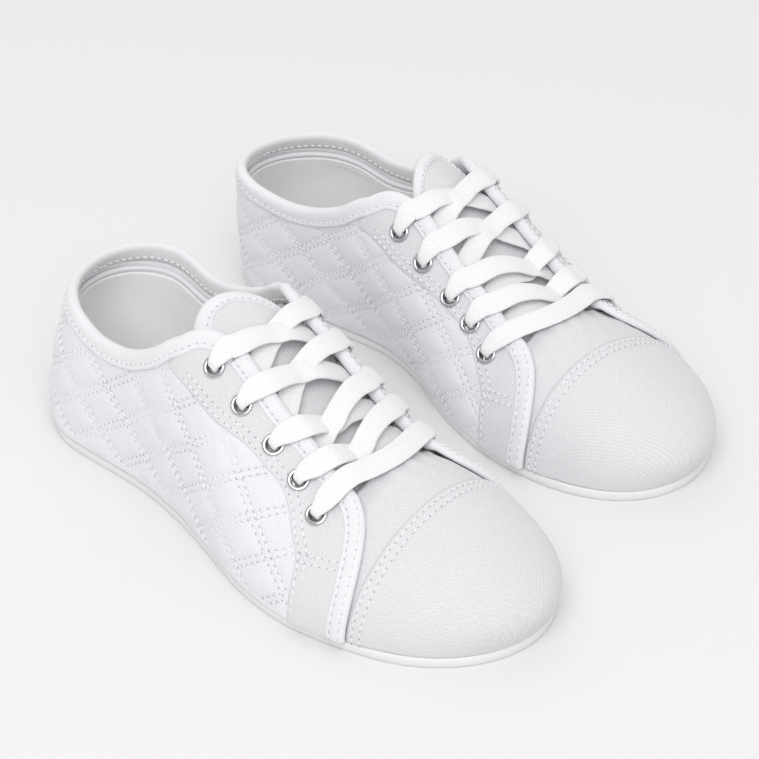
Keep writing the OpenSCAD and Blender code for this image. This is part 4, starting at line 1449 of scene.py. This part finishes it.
class SHOES_OT_stitching(bpy.types.Operator):
    """All sewing rows: quilting, seams, bindings and toe cap"""

    bl_idname = "shoes.stitching"
    bl_label = "Stitching"

    def execute(self, context):
        w = sizes().tape_width
        for sd, name in ((1, "lateral"), (-1, "medial")):
            quilting = Sewing()
            quilt_rows(quilting, sd)
            quilting.piece(f"{name}_quilting_thread", slot="quilted_canvas")

            seams = Sewing()
            for shift in (.9, .9 + sizes().twin_gap + .3):
                seams.row(seam_line(sd, shift)[6:], STAY_OFF + .1)
            for shift in (0, sizes().twin_gap + .4):
                a, b = np.array([sd * 114.4, .36]), np.array([sd * 124.8, .415])
                line = shifted(np.stack([mix(a, b, f) for f in np.linspace(0, 1, 12)]), -sd * shift)
                seams.row(line, lambda p, q: STAY_OFF + .1 + stay_lift(p))
            front = front_edge(sd)
            for inset in (1.9, w - 1.7):
                line = shifted(front, -sd * inset)
                seams.row(line[line[:, 1] > .02], lambda p, q: 2.65 + .35 * smooth(115.3, 118, np.abs(p)))
            seams.piece(f"{name}_seam_thread")

        collar = Sewing()
        edge = collar_edge()
        collar.row(shifted(edge, -(w - 1.8)), 2.3)
        collar.row(shifted(edge, -(w - 1.6)), -1.85)
        collar.piece("collar_thread", slot="tape")

        cap = Sewing()
        for shift in (1.3, 4.3):
            for sd in (1, -1):
                line = shifted(cap_rear() * [sd, 1], -sd * shift)
                cap.row(line[:-1], .72)
        cap.piece("toe_cap_thread")

        pocket = Sewing()
        for drop in (9.5 + 2.2, 9.5 + 4.6):
            line = pocket_top(drop)
            line = paced(line, sizes().stitch_pitch / 2)
            out = -normal(line[:, 0], line[:, 1])
            pocket.run(lifted(line[:, 0], line[:, 1], np.full(len(line), -2.95)), out)
        pocket.piece("heel_pocket_thread", slot="tape")
        return {"FINISHED"}


class SHOES_OT_inner_parts(bpy.types.Operator):
    """Finishes of the hidden stiffeners, the board and the aglets"""

    bl_idname = "shoes.inner_parts"
    bl_label = "Inner parts"

    def execute(self, context):
        kept = {"insole_board": "board", "toe_puff": "stiffener", "heel_counter": "stiffener", "aglets": "film"}
        for side in HAND:
            for node, kind in kept.items():
                mesh = frame["nodes"][f"{side}_{node}"].data
                mesh.materials.clear()
                mesh.materials.append(finish(kind))
        return {"FINISHED"}


OPERATORS = [SHOES_OT_stage, SHOES_OT_sole, SHOES_OT_footbed, SHOES_OT_lining, SHOES_OT_quarters,
             SHOES_OT_eyestays, SHOES_OT_toe, SHOES_OT_tongue, SHOES_OT_bindings, SHOES_OT_eyelets,
             SHOES_OT_lace, SHOES_OT_stitching, SHOES_OT_inner_parts]


class SHOES_PT_panel(bpy.types.Panel):
    """Buttons for each group of pieces"""

    bl_idname = "SHOES_PT_panel"
    bl_label = "Cheer shoes"
    bl_space_type = "VIEW_3D"
    bl_region_type = "UI"
    bl_category = "Cheer shoes"

    def draw(self, context):
        for operator in OPERATORS:
            self.layout.operator(operator.bl_idname)
        for group in (context.scene.shoe_sizes, context.scene.shoe_colours, context.scene.shoe_studio):
            box = self.layout.box()
            for name in group.bl_rna.properties.keys():
                if name not in ("rna_type", "name"):
                    box.prop(group, name)


CLASSES = [ShoeSizes, ShoeColours, StudioSettings, *OPERATORS, SHOES_PT_panel]


def register():
    for cls in CLASSES:
        bpy.utils.register_class(cls)
    bpy.types.Scene.shoe_sizes = bpy.props.PointerProperty(type=ShoeSizes)
    bpy.types.Scene.shoe_colours = bpy.props.PointerProperty(type=ShoeColours)
    bpy.types.Scene.shoe_studio = bpy.props.PointerProperty(type=StudioSettings)


def unregister():
    del bpy.types.Scene.shoe_sizes, bpy.types.Scene.shoe_colours, bpy.types.Scene.shoe_studio
    for cls in reversed(CLASSES):
        bpy.utils.unregister_class(cls)


def main():
    register()
    for operator in OPERATORS:
        group, name = operator.bl_idname.split(".")
        getattr(getattr(bpy.ops, group), name)()


if __name__ == "__main__":
    main()
